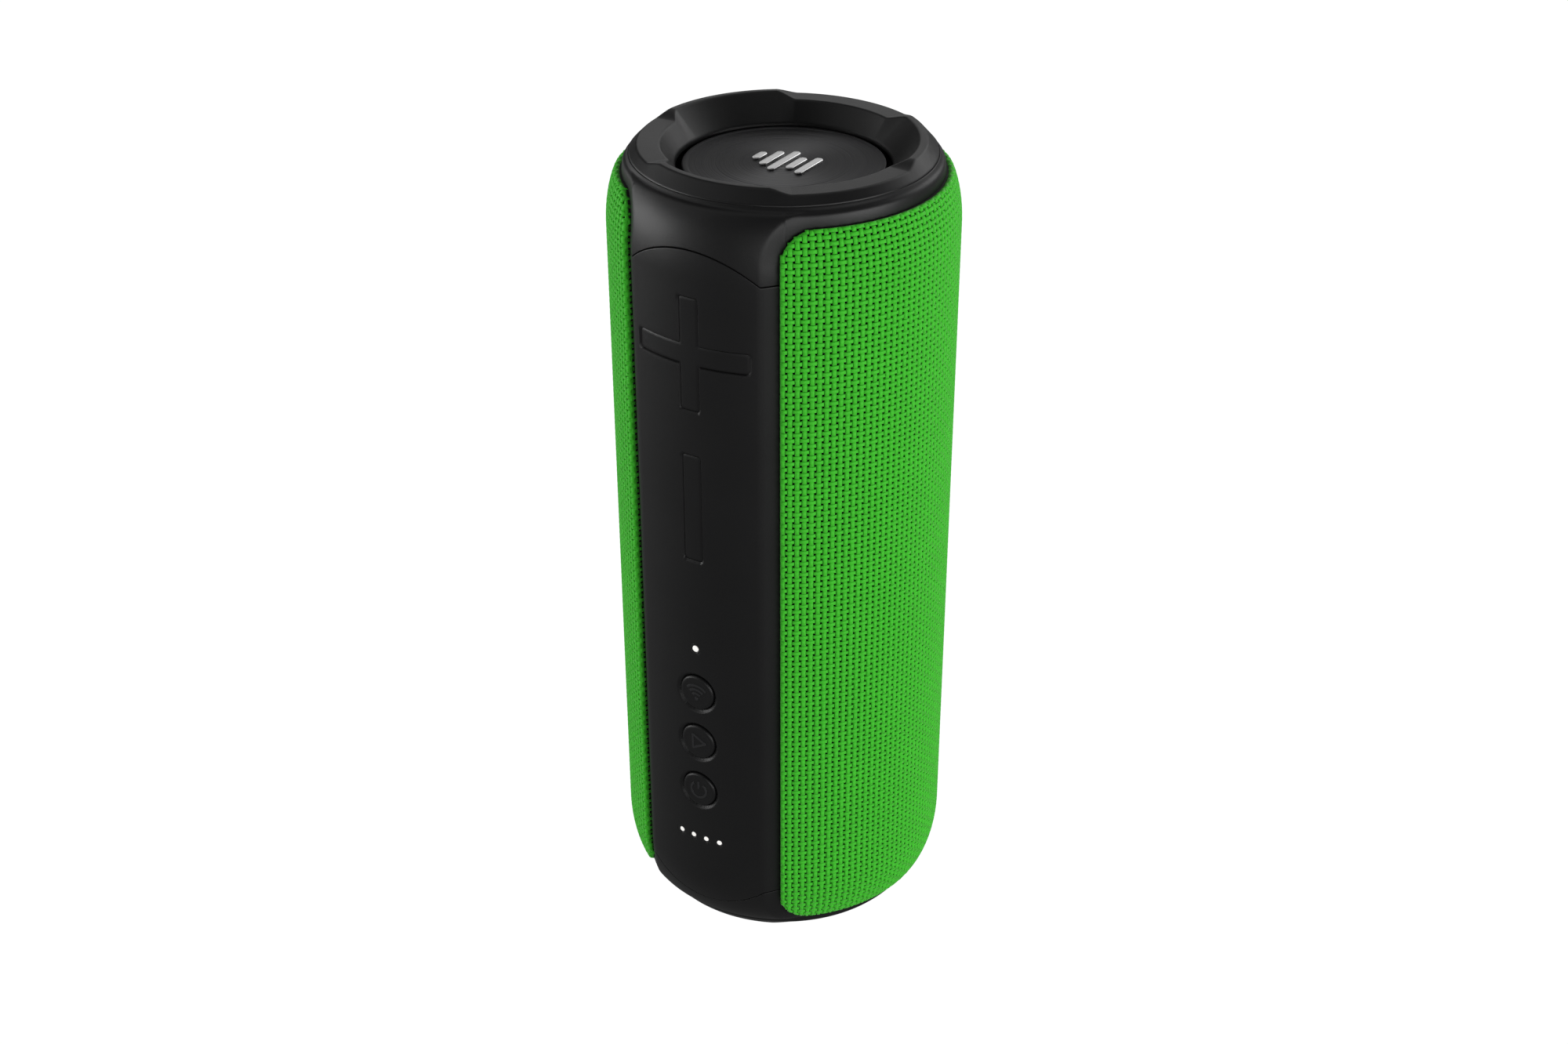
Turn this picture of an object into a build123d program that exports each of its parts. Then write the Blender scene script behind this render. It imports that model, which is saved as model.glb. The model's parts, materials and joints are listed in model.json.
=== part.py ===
"""Portable cylindrical speaker, built as an assembly of separate pieces.

Millimetres, +Z up. The origin is the middle of the foot of the speaker, the control spine faces -Y,
and the two fabric windows face -X and +X. Heights named Z_... are absolute; the body is symmetric
about mid-height, so many pieces are made at the top and mirrored for the bottom.
"""
from build123d import *
from math import cos, radians, sin, sqrt
import os

# ---------------------------------------------------------------- driving dimensions
R = 39.0                  # outer radius of the body
H = 192.0                 # overall height
MID = H / 2               # mid-height
STRAIGHT = 77.45          # half height of the straight part of the side
SHOULDER_R = 6.98         # how far the rounded shoulder comes in
SHOULDER_H = 16.17        # how far the rounded shoulder goes up
GROOVE_R = 33.66          # parting groove between shoulder and rim ring
WALL = 2.4                # wall of the caps and panels

CREASE_AZ = 24.0          # half angle of a spine, up to its crease
WINDOW_AZ = 30.0          # half angle of a spine with its bevelled bands
BAND_DROP = 1.75          # how deep the band lies at the edge of the fabric
WINDOW_TOP = MID + 89.3   # upper edge of a fabric window
WINDOW_BOTTOM = MID - 90.7
WINDOW_CORNER = 8.0       # corner radius of a fabric window
SEAM_R = 24.0             # radius of the arched seams of the panels
SEAM_TOP = MID + 83.4     # highest point of the upper seam
SEAM_BOTTOM = MID - 86.9
BAND_TOP = MID + 77.4     # where the seams cross the bands
BAND_BOTTOM = MID - 80.9
SEAM_GAP = 0.15

FABRIC = 1.3              # thickness of the woven cover
CORE_OUT = 1.35           # inset of the grille core's outer face
CORE_IN = 3.0             # inset of its inner face
CORE_HOLE_R = 2.2
CORE_HALF = 88.8          # half height of the grille core, short of the rim rings

RIM_FACE_HIGH = 96.0      # the rim ring, as heights over mid-height and radii
RIM_FACE_LOW = 94.9
RIM_FOOT = 93.2
RIM_HIGH = (31.0, 29.5)   # outer and inner edge of the high faces
RIM_LOW = (31.8, 26.8)
RIM_MOUTH = 23.5          # radius of the funnel's foot
RIM_SEGMENTS = 3          # high stretches, the first centred on the control spine

DISC_R = 22.25            # radiator disc
DISC_TOP = 90.2
DISC_THICK = 2.8
DISC_TRAVEL = 2.0
HUB_R = 20.0
ROLL_R = 24.9             # centre line of the radiator's surround
ROLL_HALF = 3.3
RUBBER = 0.8
CLAMP_SCREWS = 6
SEAL_R = 32.72            # round seal in the spigot of each chassis
SEAL_SECTION = 0.47

TUBE_OUT = 35.2           # inner enclosure
TUBE_IN = 33.2
TUBE_HALF = 82.0
TROUGH_FLOOR = 31.0       # flat trough behind the control panel, distance from the axis
TROUGH_HALF = 12.0
TROUGH_TOP = MID + 68.0
TROUGH_BOTTOM = MID - 73.0

KEY_PLUS_Z = MID + 59.7
KEY_MINUS_Z = MID + 22.5
KEY_ARM = 4.6
KEY_PLUS_W = 27.2
KEY_LONG = 26.2
ROUND_KEYS = {"wireless_key": MID - 26.2, "play_key": MID - 40.0, "power_key": MID - 53.8}
ROUND_KEY_R = 4.45
ROUND_DISH_R = 5.4
KEY_GAP = 0.15
KEY_PROUD = 0.1
FLANGE = 1.2              # how far a key's hidden flange reaches past its cap
PAIRING_Z = MID - 14.1
PAIRING_R = 1.0
BATTERY_LIGHT_Z = MID - 67.85
BATTERY_LIGHT_R = 0.8
BATTERY_LIGHT_X = (-5.28, -1.76, 1.76, 5.28)
LIGHT_GAP = 0.2
BOARD = 1.2               # circuit board thickness
SWITCH = 4.5
SWITCH_H = 1.9

DRIVER_Z = MID + 38.0
POCKET = 25.5             # half size of a driver's square pocket
BAFFLE_X = 22.5           # front face of the baffle
BAFFLE = 2.5
FLANGE_HALF = 24.4
SCREW_AT = 20.8
CONE_R = 18.0
COIL_R = 6.9
MAGNET_R = 15.0
POLE_R = 6.2

PORT_Z = 43.0             # centre of the port recess
PORT_HALF_Z = 19.0
PORT_HALF_X = 11.5
PORT_FLOOR_Y = 29.6
COVER = 1.6
CARD_Z = 33.5
AUDIO_Z = 45.6
USB_Z = 54.7
SOCKET_X = -1.6           # socket centre line
JACK_R = 1.8
JACK_DEPTH = 14.0
PORT_BOARD_X = -4.8       # face of the port board that carries the sockets

CELL_R = 9.2
CELL_L = 65.0
CELL_Z = 20.6
CELL_X = 9.7
CELL_Y = -7.0


# ---------------------------------------------------------------- helpers
def box(x0, x1, y0, y1, z0, z1):
    """A block between two corners."""
    size = Box(x1 - x0, y1 - y0, z1 - z0)
    return Pos((x0 + x1) / 2, (y0 + y1) / 2, (z0 + z1) / 2) * size


def rod(radius, z0, z1, x=0.0, y=0.0):
    """A round bar along Z."""
    return Pos(x, y, (z0 + z1) / 2) * Cylinder(radius, z1 - z0)


def rod_y(radius, y0, y1, x=0.0, z=0.0):
    """A round bar along Y."""
    return Pos(x, (y0 + y1) / 2, z) * (Rot(X=90) * Cylinder(radius, y1 - y0))


def rod_x(radius, x0, x1, y=0.0, z=0.0):
    """A round bar along X."""
    return Pos((x0 + x1) / 2, y, z) * (Rot(Y=90) * Cylinder(radius, x1 - x0))


def turned(points):
    """A ring turned about Z from (radius, height over mid-height) points."""
    outline = Polyline(*[(r, MID + z) for r, z in points], close=True)
    return revolve(Plane.XZ * make_face(outline), Axis.Z)


def turned_x(points):
    """A ring turned about a driver's axis from (x, radius) points."""
    outline = Polyline(*points, close=True)
    return Pos(0, 0, DRIVER_Z) * revolve(make_face(outline), Axis.X)


def flipped(piece):
    """The same piece at the other end of the body."""
    return mirror(piece, about=Plane.XY.offset(MID))


def other_side(piece):
    """The same piece on the other side of the body."""
    return mirror(piece, about=Plane.YZ)


def sector(half_angle, z0, z1, facing=-90.0):
    """A tall wedge about the axis, centred on a direction in the XY plane."""
    far = 90.0
    a = radians(half_angle)
    points = [(0, 0), (far * cos(a), -far * sin(a)), (far * cos(a), far * sin(a))]
    wedge = extrude(make_face(Polyline(*points, close=True)), z1 - z0)
    return Pos(0, 0, z0) * (Rot(Z=facing) * wedge)


def body_solid(inset):
    """The whole outer form, taken in by an inset: a straight side and two elliptical shoulders."""
    core = R - SHOULDER_R
    top = STRAIGHT + SHOULDER_H - inset
    a, b = SHOULDER_R - inset, SHOULDER_H - inset
    upper = EllipticalCenterArc((core, MID + STRAIGHT), a, b, start_angle=0, arc_size=90)
    lower = EllipticalCenterArc((core, MID - STRAIGHT), a, b, start_angle=270, arc_size=90)
    side = Line((R - inset, MID - STRAIGHT), (R - inset, MID + STRAIGHT))
    ends = Polyline((core, MID + top), (0, MID + top), (0, MID - top), (core, MID - top))
    face = make_face([lower, side, upper, ends])
    return revolve(Plane.XZ * face, Axis.Z)


def shell(outer_inset, inner_inset):
    """The skin of the body between two insets."""
    return body_solid(outer_inset) - body_solid(inner_inset)


def window_cutter(grow, facing):
    """A fabric window as a filleted wedge towards -X or +X, larger by grow all round."""
    near, far = 20.0, 70.0
    angle = radians(90.0 - WINDOW_AZ)
    away = grow / R
    c, s = cos(angle + away), sin(angle + away)
    points = [(near * c, -near * s), (far * c, -far * s), (90, -far * s), (90, far * s),
              (far * c, far * s), (near * c, near * s)]
    z0, z1 = WINDOW_BOTTOM - grow, WINDOW_TOP + grow
    block = Pos(0, 0, z0) * extrude(make_face(Polyline(*points, close=True)), z1 - z0)
    middle = (near + far) / 2
    corners = [e for e in block.edges()
               if min((e.center() - Vector(middle * c, k * middle * s, z)).length
                      for k in (-1, 1) for z in (z0, z1)) < 0.01]
    block = fillet(corners, WINDOW_CORNER + grow)
    return block if facing > 0 else other_side(block)


def band_cutters():
    """The four wedges that bevel the sides of both spines down to the fabric."""
    crease, edge = radians(CREASE_AZ), radians(WINDOW_AZ)
    x0, y0 = R * sin(crease), R * cos(crease)
    x1, y1 = (R - BAND_DROP) * sin(edge), (R - BAND_DROP) * cos(edge)
    dx, dy = x1 - x0, y1 - y0
    reach = 3.0
    far = (x0 + reach * dx, y0 + reach * dy)
    outline = [(x0, y0), far, (far[0] + 8, y0 + 8), (x0, y0 + 8)]
    wedge = extrude(make_face(Polyline(*outline, close=True)), H)
    pair = wedge + mirror(wedge, about=Plane.YZ)
    return pair + mirror(pair, about=Plane.XZ)


def panel_zone(grow):
    """The stretch of a spine that belongs to a panel: a block with arched ends."""
    block = box(-30, 30, -60, 60, BAND_BOTTOM - grow, BAND_TOP + grow)
    top = rod_y(SEAM_R + grow, -60, 60, z=SEAM_TOP - SEAM_R)
    bottom = rod_y(SEAM_R + grow, -60, 60, z=SEAM_BOTTOM + SEAM_R)
    return block + top + bottom


def round_box_y(w, h, corner, y0, y1, x=0.0, z=0.0):
    """A bar along Y with a rounded rectangular section."""
    bar = extrude(RectangleRounded(w, h, corner), y1 - y0)
    return Pos(x, y1, z) * (Rot(X=90) * bar)


# ---------------------------------------------------------------- casing
def end_cap():
    """Top end cap: the shoulder ring with the upper ends of both spines."""
    skin = shell(0, WALL) & box(-60, 60, -60, 60, MID + 70, MID + 96)
    skin -= rod(GROOVE_R + 0.04, MID + 80, MID + 100)
    for facing in (-1, 1):
        skin -= window_cutter(0.1, facing)
    skin -= panel_zone(SEAM_GAP)
    return skin - band_cutters()


def bottom_cap():
    """Bottom end cap: the same, with the lower window edge and the lower seam."""
    skin = shell(0, WALL) & box(-60, 60, -60, 60, 0, MID - 70)
    skin -= rod(GROOVE_R + 0.04, -4, MID - 80)
    for facing in (-1, 1):
        skin -= window_cutter(0.1, facing)
    skin -= panel_zone(SEAM_GAP)
    return skin - band_cutters()


def spine_panel(facing):
    """Plain curved panel between the arched seams, with its bevelled bands."""
    blank = shell(0, WALL) & sector(WINDOW_AZ, 0, H, facing)
    return (blank & panel_zone(0)) - band_cutters()


def control_panel():
    """Front panel with its key openings, dished rings and light holes."""
    panel = spine_panel(-90)
    panel -= plus_prism(KEY_GAP, -42, -34)
    panel -= minus_prism(KEY_GAP, -42, -34)
    for z in ROUND_KEYS.values():
        panel -= rod_y(ROUND_KEY_R + KEY_GAP, -42, -34, z=z)
        dish = Pos(0, -R + 0.3, z) * (Rot(X=90) * Cone(ROUND_KEY_R + KEY_GAP, ROUND_DISH_R + 0.2, 0.8))
        panel -= dish
    panel -= rod_y(PAIRING_R + LIGHT_GAP, -42, -34, z=PAIRING_Z)
    for x in BATTERY_LIGHT_X:
        panel -= rod_y(BATTERY_LIGHT_R + LIGHT_GAP, -42, -34, x=x, z=BATTERY_LIGHT_Z)
    return panel


def rear_panel():
    """Rear panel with the opening of the port recess."""
    opening = round_box_y(2 * PORT_HALF_X, 2 * PORT_HALF_Z, 3.0, 30, 42, z=PORT_Z)
    return spine_panel(90) - opening


def fabric(facing):
    """Woven cover of one side."""
    return shell(0, FABRIC) & window_cutter(-0.1, facing)


def grille_core(facing):
    """Perforated core that carries the woven cover."""
    core = shell(CORE_OUT, CORE_IN) & window_cutter(-0.1, facing)
    core &= box(-60, 60, -60, 60, MID - CORE_HALF, MID + CORE_HALF)
    for row in range(-5, 6):
        for column in range(-3, 4):
            hole = Pos(0, 0, DRIVER_Z + 7.2 * row) * (Rot(Z=9.5 * column) * rod_x(CORE_HOLE_R, 30, 42))
            core -= hole if facing > 0 else other_side(hole)
    return core


def rim_profile(face_z, edges):
    """Cross-section of the rim ring with its top face at one height."""
    outer, inner = edges
    return [(GROOVE_R - 0.1, RIM_FOOT), (outer, face_z), (inner, face_z), (RIM_MOUTH, 90.3),
            (RIM_MOUTH, 89.4), (25.0, 89.4), (27.6, 92.6), (30.0, 92.6), (30.6, 90.05),
            (GROOVE_R - 0.1, 90.05)]


def rim_ring():
    """Crenellated ring round the radiator: high and low stretches by turns."""
    high = turned(rim_profile(RIM_FACE_HIGH, RIM_HIGH))
    low = turned(rim_profile(RIM_FACE_LOW, RIM_LOW))
    step = 360.0 / RIM_SEGMENTS
    teeth = Part()
    for k in range(RIM_SEGMENTS):
        teeth += sector(step / 4, MID + 80, H + 5, -90 + k * step)
    return (high & teeth) + (low - teeth)


# ---------------------------------------------------------------- keys and lights
def plus_prism(grow, y0, y1):
    """Bar along Y with the outline of a plus sign."""
    across = round_box_y(KEY_PLUS_W + 2 * grow, KEY_ARM + 2 * grow, 0.6, y0, y1, z=KEY_PLUS_Z)
    upright = round_box_y(KEY_ARM + 2 * grow, KEY_LONG + 2 * grow, 0.6, y0, y1, z=KEY_PLUS_Z)
    return across + upright


def minus_prism(grow, y0, y1):
    """Bar along Y with the outline of the lower volume key, an upright bar."""
    return round_box_y(KEY_ARM + 2 * grow, KEY_LONG + 2 * grow, 0.6, y0, y1, z=KEY_MINUS_Z)


def key(cap_prism, flange_prism, z, post_r):
    """A key: cap flush with the panel, hidden flange behind it, post towards its switch."""
    face = rod(R + KEY_PROUD, 0, H) - rod(36.4, 0, H)
    flange_zone = rod(36.45, 0, H) - rod(35.9, 0, H)
    post = rod_y(post_r, -36.2, -34.75, z=z)
    return (cap_prism & face) + (flange_prism & flange_zone) + post


def round_key(z):
    """A round key."""
    cap = rod_y(ROUND_KEY_R, -42, -34, z=z)
    return key(cap, rod_y(ROUND_KEY_R + 0.9, -42, -34, z=z), z, 1.5)


def light_pipe(radius, x, z):
    """Clear rod from a lamp on the key board to the panel's face, with a collar."""
    tip = -sqrt(R * R - x * x) + 0.2
    return rod_y(radius, tip, -33.1, x=x, z=z) + rod_y(radius + 0.5, -35.9, -35.2, x=x, z=z)


def key_board():
    """Long circuit board in the trough."""
    edge = TROUGH_HALF - 0.4
    return box(-edge, edge, -TROUGH_FLOOR - BOARD, -TROUGH_FLOOR, TROUGH_BOTTOM + 0.5, TROUGH_TOP - 0.5)


def on_board(w, h, depth, x, z):
    """A block soldered to the front of the key board."""
    y1 = -TROUGH_FLOOR - BOARD
    return box(x - w / 2, x + w / 2, y1 - depth, y1, z - h / 2, z + h / 2)


def tact_switches():
    """One switch behind each key, with its round plunger."""
    group = []
    for z in [KEY_PLUS_Z, KEY_MINUS_Z] + list(ROUND_KEYS.values()):
        base = on_board(SWITCH, SWITCH, SWITCH_H - 0.5, 0, z)
        y = -TROUGH_FLOOR - BOARD - SWITCH_H
        group.append(base + rod_y(1.2, y, y + 0.6, z=z))
    return Compound(children=[g.solid() for g in group])


def indicator_lamps():
    """Lamps behind the light pipes."""
    spots = [(0, PAIRING_Z)] + [(x, BATTERY_LIGHT_Z) for x in BATTERY_LIGHT_X]
    return Compound(children=[on_board(1.6, 1.2, 0.7, x, z).solid() for x, z in spots])


# ---------------------------------------------------------------- enclosure and radiators
def enclosure():
    """Inner tube with two driver pockets, the trough of the key board and the port opening."""
    tube = rod(TUBE_OUT, MID - TUBE_HALF, MID + TUBE_HALF)
    bore = rod(TUBE_IN, MID - TUBE_HALF - 1, MID + TUBE_HALF + 1)
    wall = POCKET + 2.0
    lo, hi = DRIVER_Z - wall, DRIVER_Z + wall
    pockets = box(BAFFLE_X - BAFFLE, 60, -wall, wall, lo, hi)
    pockets += box(-60, -BAFFLE_X + BAFFLE, -wall, wall, lo, hi)
    trough = box(-TROUGH_HALF - 1.6, TROUGH_HALF + 1.6, -60, -TROUGH_FLOOR + 2.0,
                 TROUGH_BOTTOM - 1.6, TROUGH_TOP + 1.6)
    tube = tube & ((tube - bore) + pockets + trough)
    lo, hi = DRIVER_Z - POCKET, DRIVER_Z + POCKET
    for side in (-1, 1):
        x0, x1 = sorted((side * BAFFLE_X, side * 60))
        tube -= box(x0, x1, -POCKET, POCKET, lo, hi)
        tube -= rod_x(22.4, *sorted((side * 15, side * 30)), z=DRIVER_Z)
        for y in (-SCREW_AT, SCREW_AT):
            for z in (-SCREW_AT, SCREW_AT):
                tube -= rod_x(1.15, *sorted((side * 15, side * 30)), y=y, z=DRIVER_Z + z)
    tube -= box(-TROUGH_HALF, TROUGH_HALF, -60, -TROUGH_FLOOR, TROUGH_BOTTOM, TROUGH_TOP)
    hole_x, hole_z = PORT_HALF_X - 0.15, PORT_HALF_Z - 0.15
    return tube - box(-hole_x, hole_x, 26, 60, PORT_Z - hole_z, PORT_Z + hole_z)


def clamp_screw_places():
    """Where the screws of a clamp ring stand."""
    step = 360.0 / CLAMP_SCREWS
    angles = [radians(step / 2 + k * step) for k in range(CLAMP_SCREWS)]
    return [(29.75 * cos(a), 29.75 * sin(a)) for a in angles]


def drilled(piece, radius):
    """The piece with the holes of the clamp screws."""
    for x, y in clamp_screw_places():
        piece -= rod(radius, MID + 70, MID + 96, x, y)
    return piece


def chassis():
    """Bulkhead that closes the tube and carries the radiator and the rim ring."""
    ring = turned([(28.75, 82.05), (28.75, 84.5), (31.1, 84.5), (31.1, 90.0), (33.0, 90.0), (33.0, 84.5),
                   (34.9, 84.5), (34.9, 82.05), (33.05, 82.05), (33.05, 80.7), (SEAL_R - SEAL_SECTION, 80.7),
                   (SEAL_R - SEAL_SECTION, 79.5), (33.05, 79.5), (33.05, 78.0), (30.8, 78.0),
                   (30.8, 82.05)])
    return drilled(ring, 0.8)


def radiator_disc():
    """Heavy disc with a hub that sits on the surround, and a shallow seat for the emblem."""
    z0 = DISC_TOP - DISC_THICK
    plate = turned([(0, z0), (DISC_R - 0.3, z0), (DISC_R, z0 + 0.3), (DISC_R, DISC_TOP - 0.3),
                    (DISC_R - 0.3, DISC_TOP), (0, DISC_TOP)])
    return plate + rod(HUB_R, MID + 85.35, MID + z0)


def radiator_surround():
    """Rubber half roll, hanging down, with its inner and outer landings."""
    rise = MID + 84.55
    inner, outer = ROLL_R - ROLL_HALF, ROLL_R + ROLL_HALF
    roll = Plane.XZ * (Pos(ROLL_R, rise) * (Circle(ROLL_HALF + RUBBER / 2) - Circle(ROLL_HALF - RUBBER / 2)))
    half = revolve(roll, Axis.Z) & box(-60, 60, -60, 60, rise - 10, rise)
    inner_pad = rod(inner + RUBBER / 2, rise, rise + 0.75) - rod(HUB_R - 3.0, rise - 1, rise + 2)
    outer_pad = rod(30.95, rise, rise + 0.75) - rod(outer - RUBBER / 2, rise - 1, rise + 2)
    return drilled(half + inner_pad + outer_pad, 0.85)


def clamp_ring():
    """Ring that presses the surround to the chassis."""
    ring = turned([(28.6, 85.35), (30.95, 85.35), (30.95, 86.8), (28.6, 86.8)])
    return drilled(ring, 0.85)


def clamp_screws():
    """Screws through the clamp ring and the surround into the chassis."""
    screws = []
    for x, y in clamp_screw_places():
        shank = rod(0.75, MID + 82.3, MID + 87.0, x, y)
        head = rod(1.1, MID + 86.85, MID + 87.9, x, y) - rod(0.5, MID + 87.4, MID + 88.5, x, y)
        screws.append((shank + head).solid())
    return Compound(children=screws)


def seal():
    """Round rubber ring in the groove of the chassis spigot."""
    return revolve(Plane.XZ * (Pos(SEAL_R, MID + 80.1) * Circle(SEAL_SECTION)), Axis.Z)


def emblem():
    """Inlaid plate of five upright level bars of different heights."""
    heights = (4.6, 9.0, 12.4, 7.4, 10.4)
    bars = []
    for k, tall in enumerate(heights):
        bar = extrude(RectangleRounded(1.9, tall, 0.9), 0.35)
        bars.append((Pos((k - 2) * 3.1, 0, MID + DISC_TOP + 0.01) * bar).solid())
    return Compound(children=bars)


# ---------------------------------------------------------------- drivers, made facing +X
def driver_basket():
    """Pressed frame with a square flange, four vents and screw holes."""
    cup = turned_x([(24.0, 21.4), (24.0, 22.3), (19.6, 22.0), (13.2, 17.2), (13.2, 8.4), (14.2, 8.4),
                    (14.2, 16.4), (20.4, 20.8)])
    plate = Pos(BAFFLE_X, 0, DRIVER_Z) * (Rot(Y=90) * extrude(
        RectangleRounded(2 * FLANGE_HALF, 2 * FLANGE_HALF, 6.0), 1.5))
    basket = cup + (plate - rod_x(21.8, 20, 26, z=DRIVER_Z))
    for turn in range(4):
        vent = box(15.0, 19.0, 10, 30, -5.5, 5.5)
        basket -= Pos(0, 0, DRIVER_Z) * (Rot(X=45 + 90 * turn) * vent)
    for y in (-SCREW_AT, SCREW_AT):
        for z in (-SCREW_AT, SCREW_AT):
            basket -= rod_x(1.15, 15, 30, y=y, z=DRIVER_Z + z)
    return basket


def driver_magnet():
    """Ring magnet with its front plate."""
    return turned_x([(5.6, 7.5), (5.6, MAGNET_R), (13.1, MAGNET_R), (13.1, 7.5)])


def driver_yoke():
    """Back plate with the centre pole."""
    return turned_x([(3.6, 0), (3.6, MAGNET_R), (5.5, MAGNET_R), (5.5, POLE_R), (13.6, POLE_R), (13.6, 0)])


def driver_cone():
    """Paper cone with its voice coil and dust cap."""
    cone = turned_x([(24.4, CONE_R), (24.9, CONE_R), (18.3, COIL_R + 0.3), (18.3, COIL_R - 0.3),
                     (8.5, COIL_R - 0.3), (8.5, COIL_R), (17.6, COIL_R)])
    cap = turned_x([(18.2, 0), (18.2, COIL_R + 0.2), (19.6, 5.4), (20.5, 3.0), (20.8, 0)])
    return cone + cap


def driver_surround():
    """Rubber half roll of the driver, crowned outwards."""
    x = 24.45
    section = Pos(x, 20.15) * (Circle(1.9) - Circle(1.5))
    half = revolve(section, Axis.X) & box(x, 40, -60, 60, -60, 60)
    rim = revolve(make_face(Polyline((24.05, 21.7), (24.05, 23.6), (24.5, 23.6), (24.5, 21.7), close=True)),
                  Axis.X)
    lip = revolve(make_face(Polyline((24.4, 18.05), (24.4, 18.6), (24.9, 18.6), (24.9, 18.05), close=True)),
                  Axis.X)
    return Pos(0, 0, DRIVER_Z) * (half + rim + lip)


def driver_spider():
    """Corrugated centring disc."""
    points = [(16.0, COIL_R + 0.1), (15.4, 9.0), (16.2, 11.0), (15.4, 13.0), (16.0, 15.4), (16.3, 17.3)]
    back = [(x + 0.35, r) for x, r in reversed(points)]
    return turned_x(points + back)


def driver_gasket():
    """Foam ring on the flange."""
    return turned_x([(24.55, 22.3), (24.55, 23.9), (25.6, 23.9), (25.6, 22.3)])


def driver_screws():
    """Eight screws that hold both drivers to their baffles."""
    screws = []
    for side in (-1, 1):
        for y in (-SCREW_AT, SCREW_AT):
            for z in (-SCREW_AT, SCREW_AT):
                shank = rod_x(1.1, 19.0, 24.2, y=y, z=DRIVER_Z + z)
                head = rod_x(2.0, 24.05, 25.3, y=y, z=DRIVER_Z + z)
                slot = rod_x(0.8, 24.7, 26, y=y, z=DRIVER_Z + z)
                screw = shank + head - slot
                screws.append((screw if side > 0 else other_side(screw)).solid())
    return Compound(children=screws)


# ---------------------------------------------------------------- power and ports
def battery_cells():
    """Two round cells side by side."""
    cells = []
    for side in (-1, 1):
        can = rod(CELL_R, CELL_Z, CELL_Z + CELL_L - 0.8, side * CELL_X, CELL_Y)
        cells.append((can + rod(3.2, CELL_Z + CELL_L - 0.8, CELL_Z + CELL_L, side * CELL_X, CELL_Y)).solid())
    return Compound(children=cells)


def battery_tray():
    """Disc across the tube with the cell holder standing on it."""
    floor = rod(TUBE_IN - 0.15, 18.3, 20.5)
    floor -= box(-12, 12, 10, 24, 10, 30)
    back = box(-19, 19, CELL_Y - CELL_R - 2.0, CELL_Y - CELL_R - 0.2, 20.0, CELL_Z + CELL_L + 2.2)
    lid = box(-19, 19, CELL_Y - CELL_R - 2.0, CELL_Y + 6, CELL_Z + CELL_L + 0.2, CELL_Z + CELL_L + 2.2)
    return floor + back + lid


def main_board():
    """Amplifier and radio board, standing on the tray."""
    return box(-25, 25, 5.2, 6.8, 20.6, 98)


def board_parts():
    """Amplifier chip, radio module, coils and capacitors on the main board, and its port header."""
    face = 6.85
    parts = [box(8, 17, face, face + 1.2, 70, 79), box(-20, -8, face, face + 2.0, 74, 92),
             box(9, 15, face, face + 3.0, 84, 90), box(-5.0, 2.0, face, 11.9, 36, 50)]
    for x in (10.5, 17.5):
        parts.append(rod_y(2.9, face, face + 6.5, x=x, z=61))
        parts.append(box(x - 2.5, x + 2.5, face, face + 2.6, 46, 51))
    return Compound(children=[p.solid() for p in parts])


def port_board():
    """Small board edge-on behind the port recess."""
    z0, z1 = PORT_Z - PORT_HALF_Z + 1.5, PORT_Z + PORT_HALF_Z - 1.5
    return box(PORT_BOARD_X - BOARD, PORT_BOARD_X, 12, 28.0, z0, z1)


def usb_c_hole(grow, y0, y1):
    """Upright oblong bar of the size of a USB-C socket."""
    return round_box_y(3.26 + 2 * grow, 8.94 + 2 * grow, 1.6 + grow, y0, y1, x=SOCKET_X, z=USB_Z)


def usb_c_socket():
    """Steel shell with its contact tongue."""
    shell_part = usb_c_hole(0, 21.5, PORT_FLOOR_Y) - usb_c_hole(-0.33, 22.3, PORT_FLOOR_Y + 1)
    return shell_part + round_box_y(0.7, 6.6, 0.3, 22.0, 28.6, x=SOCKET_X, z=USB_Z)


def audio_socket():
    """3.5 mm jack socket: body, nose and bore."""
    nose = rod_y(2.9, 26.0, PORT_FLOOR_Y, x=SOCKET_X, z=AUDIO_Z)
    body = box(PORT_BOARD_X + 0.05, 1.6, 14.0, 27.9, AUDIO_Z - 3.1, AUDIO_Z + 3.1)
    return body + nose - rod_y(JACK_R, PORT_FLOOR_Y - JACK_DEPTH, PORT_FLOOR_Y + 1, x=SOCKET_X, z=AUDIO_Z)


def card_socket():
    """Slot socket for a small memory card."""
    x0, z0, z1 = PORT_BOARD_X + 0.05, CARD_Z - 6.4, CARD_Z + 6.4
    body = box(x0, x0 + 1.9, 14.0, 27.9, z0, z1)
    return body - box(x0 + 0.5, x0 + 1.4, 15.0, 28.0, z0 + 0.7, z1 - 0.7)


def port_tray():
    """Recessed tray of the ports, flush under the rubber cover."""
    w, h = PORT_HALF_X - 0.3, PORT_HALF_Z - 0.3
    block = round_box_y(2 * w, 2 * h, 2.8, 28.0, 40, z=PORT_Z) & rod(37.1, 0, H)
    cavity = round_box_y(2 * (w - 1.4), 2 * (h - 1.4), 1.6, PORT_FLOOR_Y, 41, z=PORT_Z)
    tray = block - cavity
    tray -= usb_c_hole(0.05, 26, 31)
    tray -= rod_y(2.95, 26, 31, x=SOCKET_X, z=AUDIO_Z)
    return tray - box(-4.3, -3.3, 26, 31, CARD_Z - 5.8, CARD_Z + 5.8)


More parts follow.
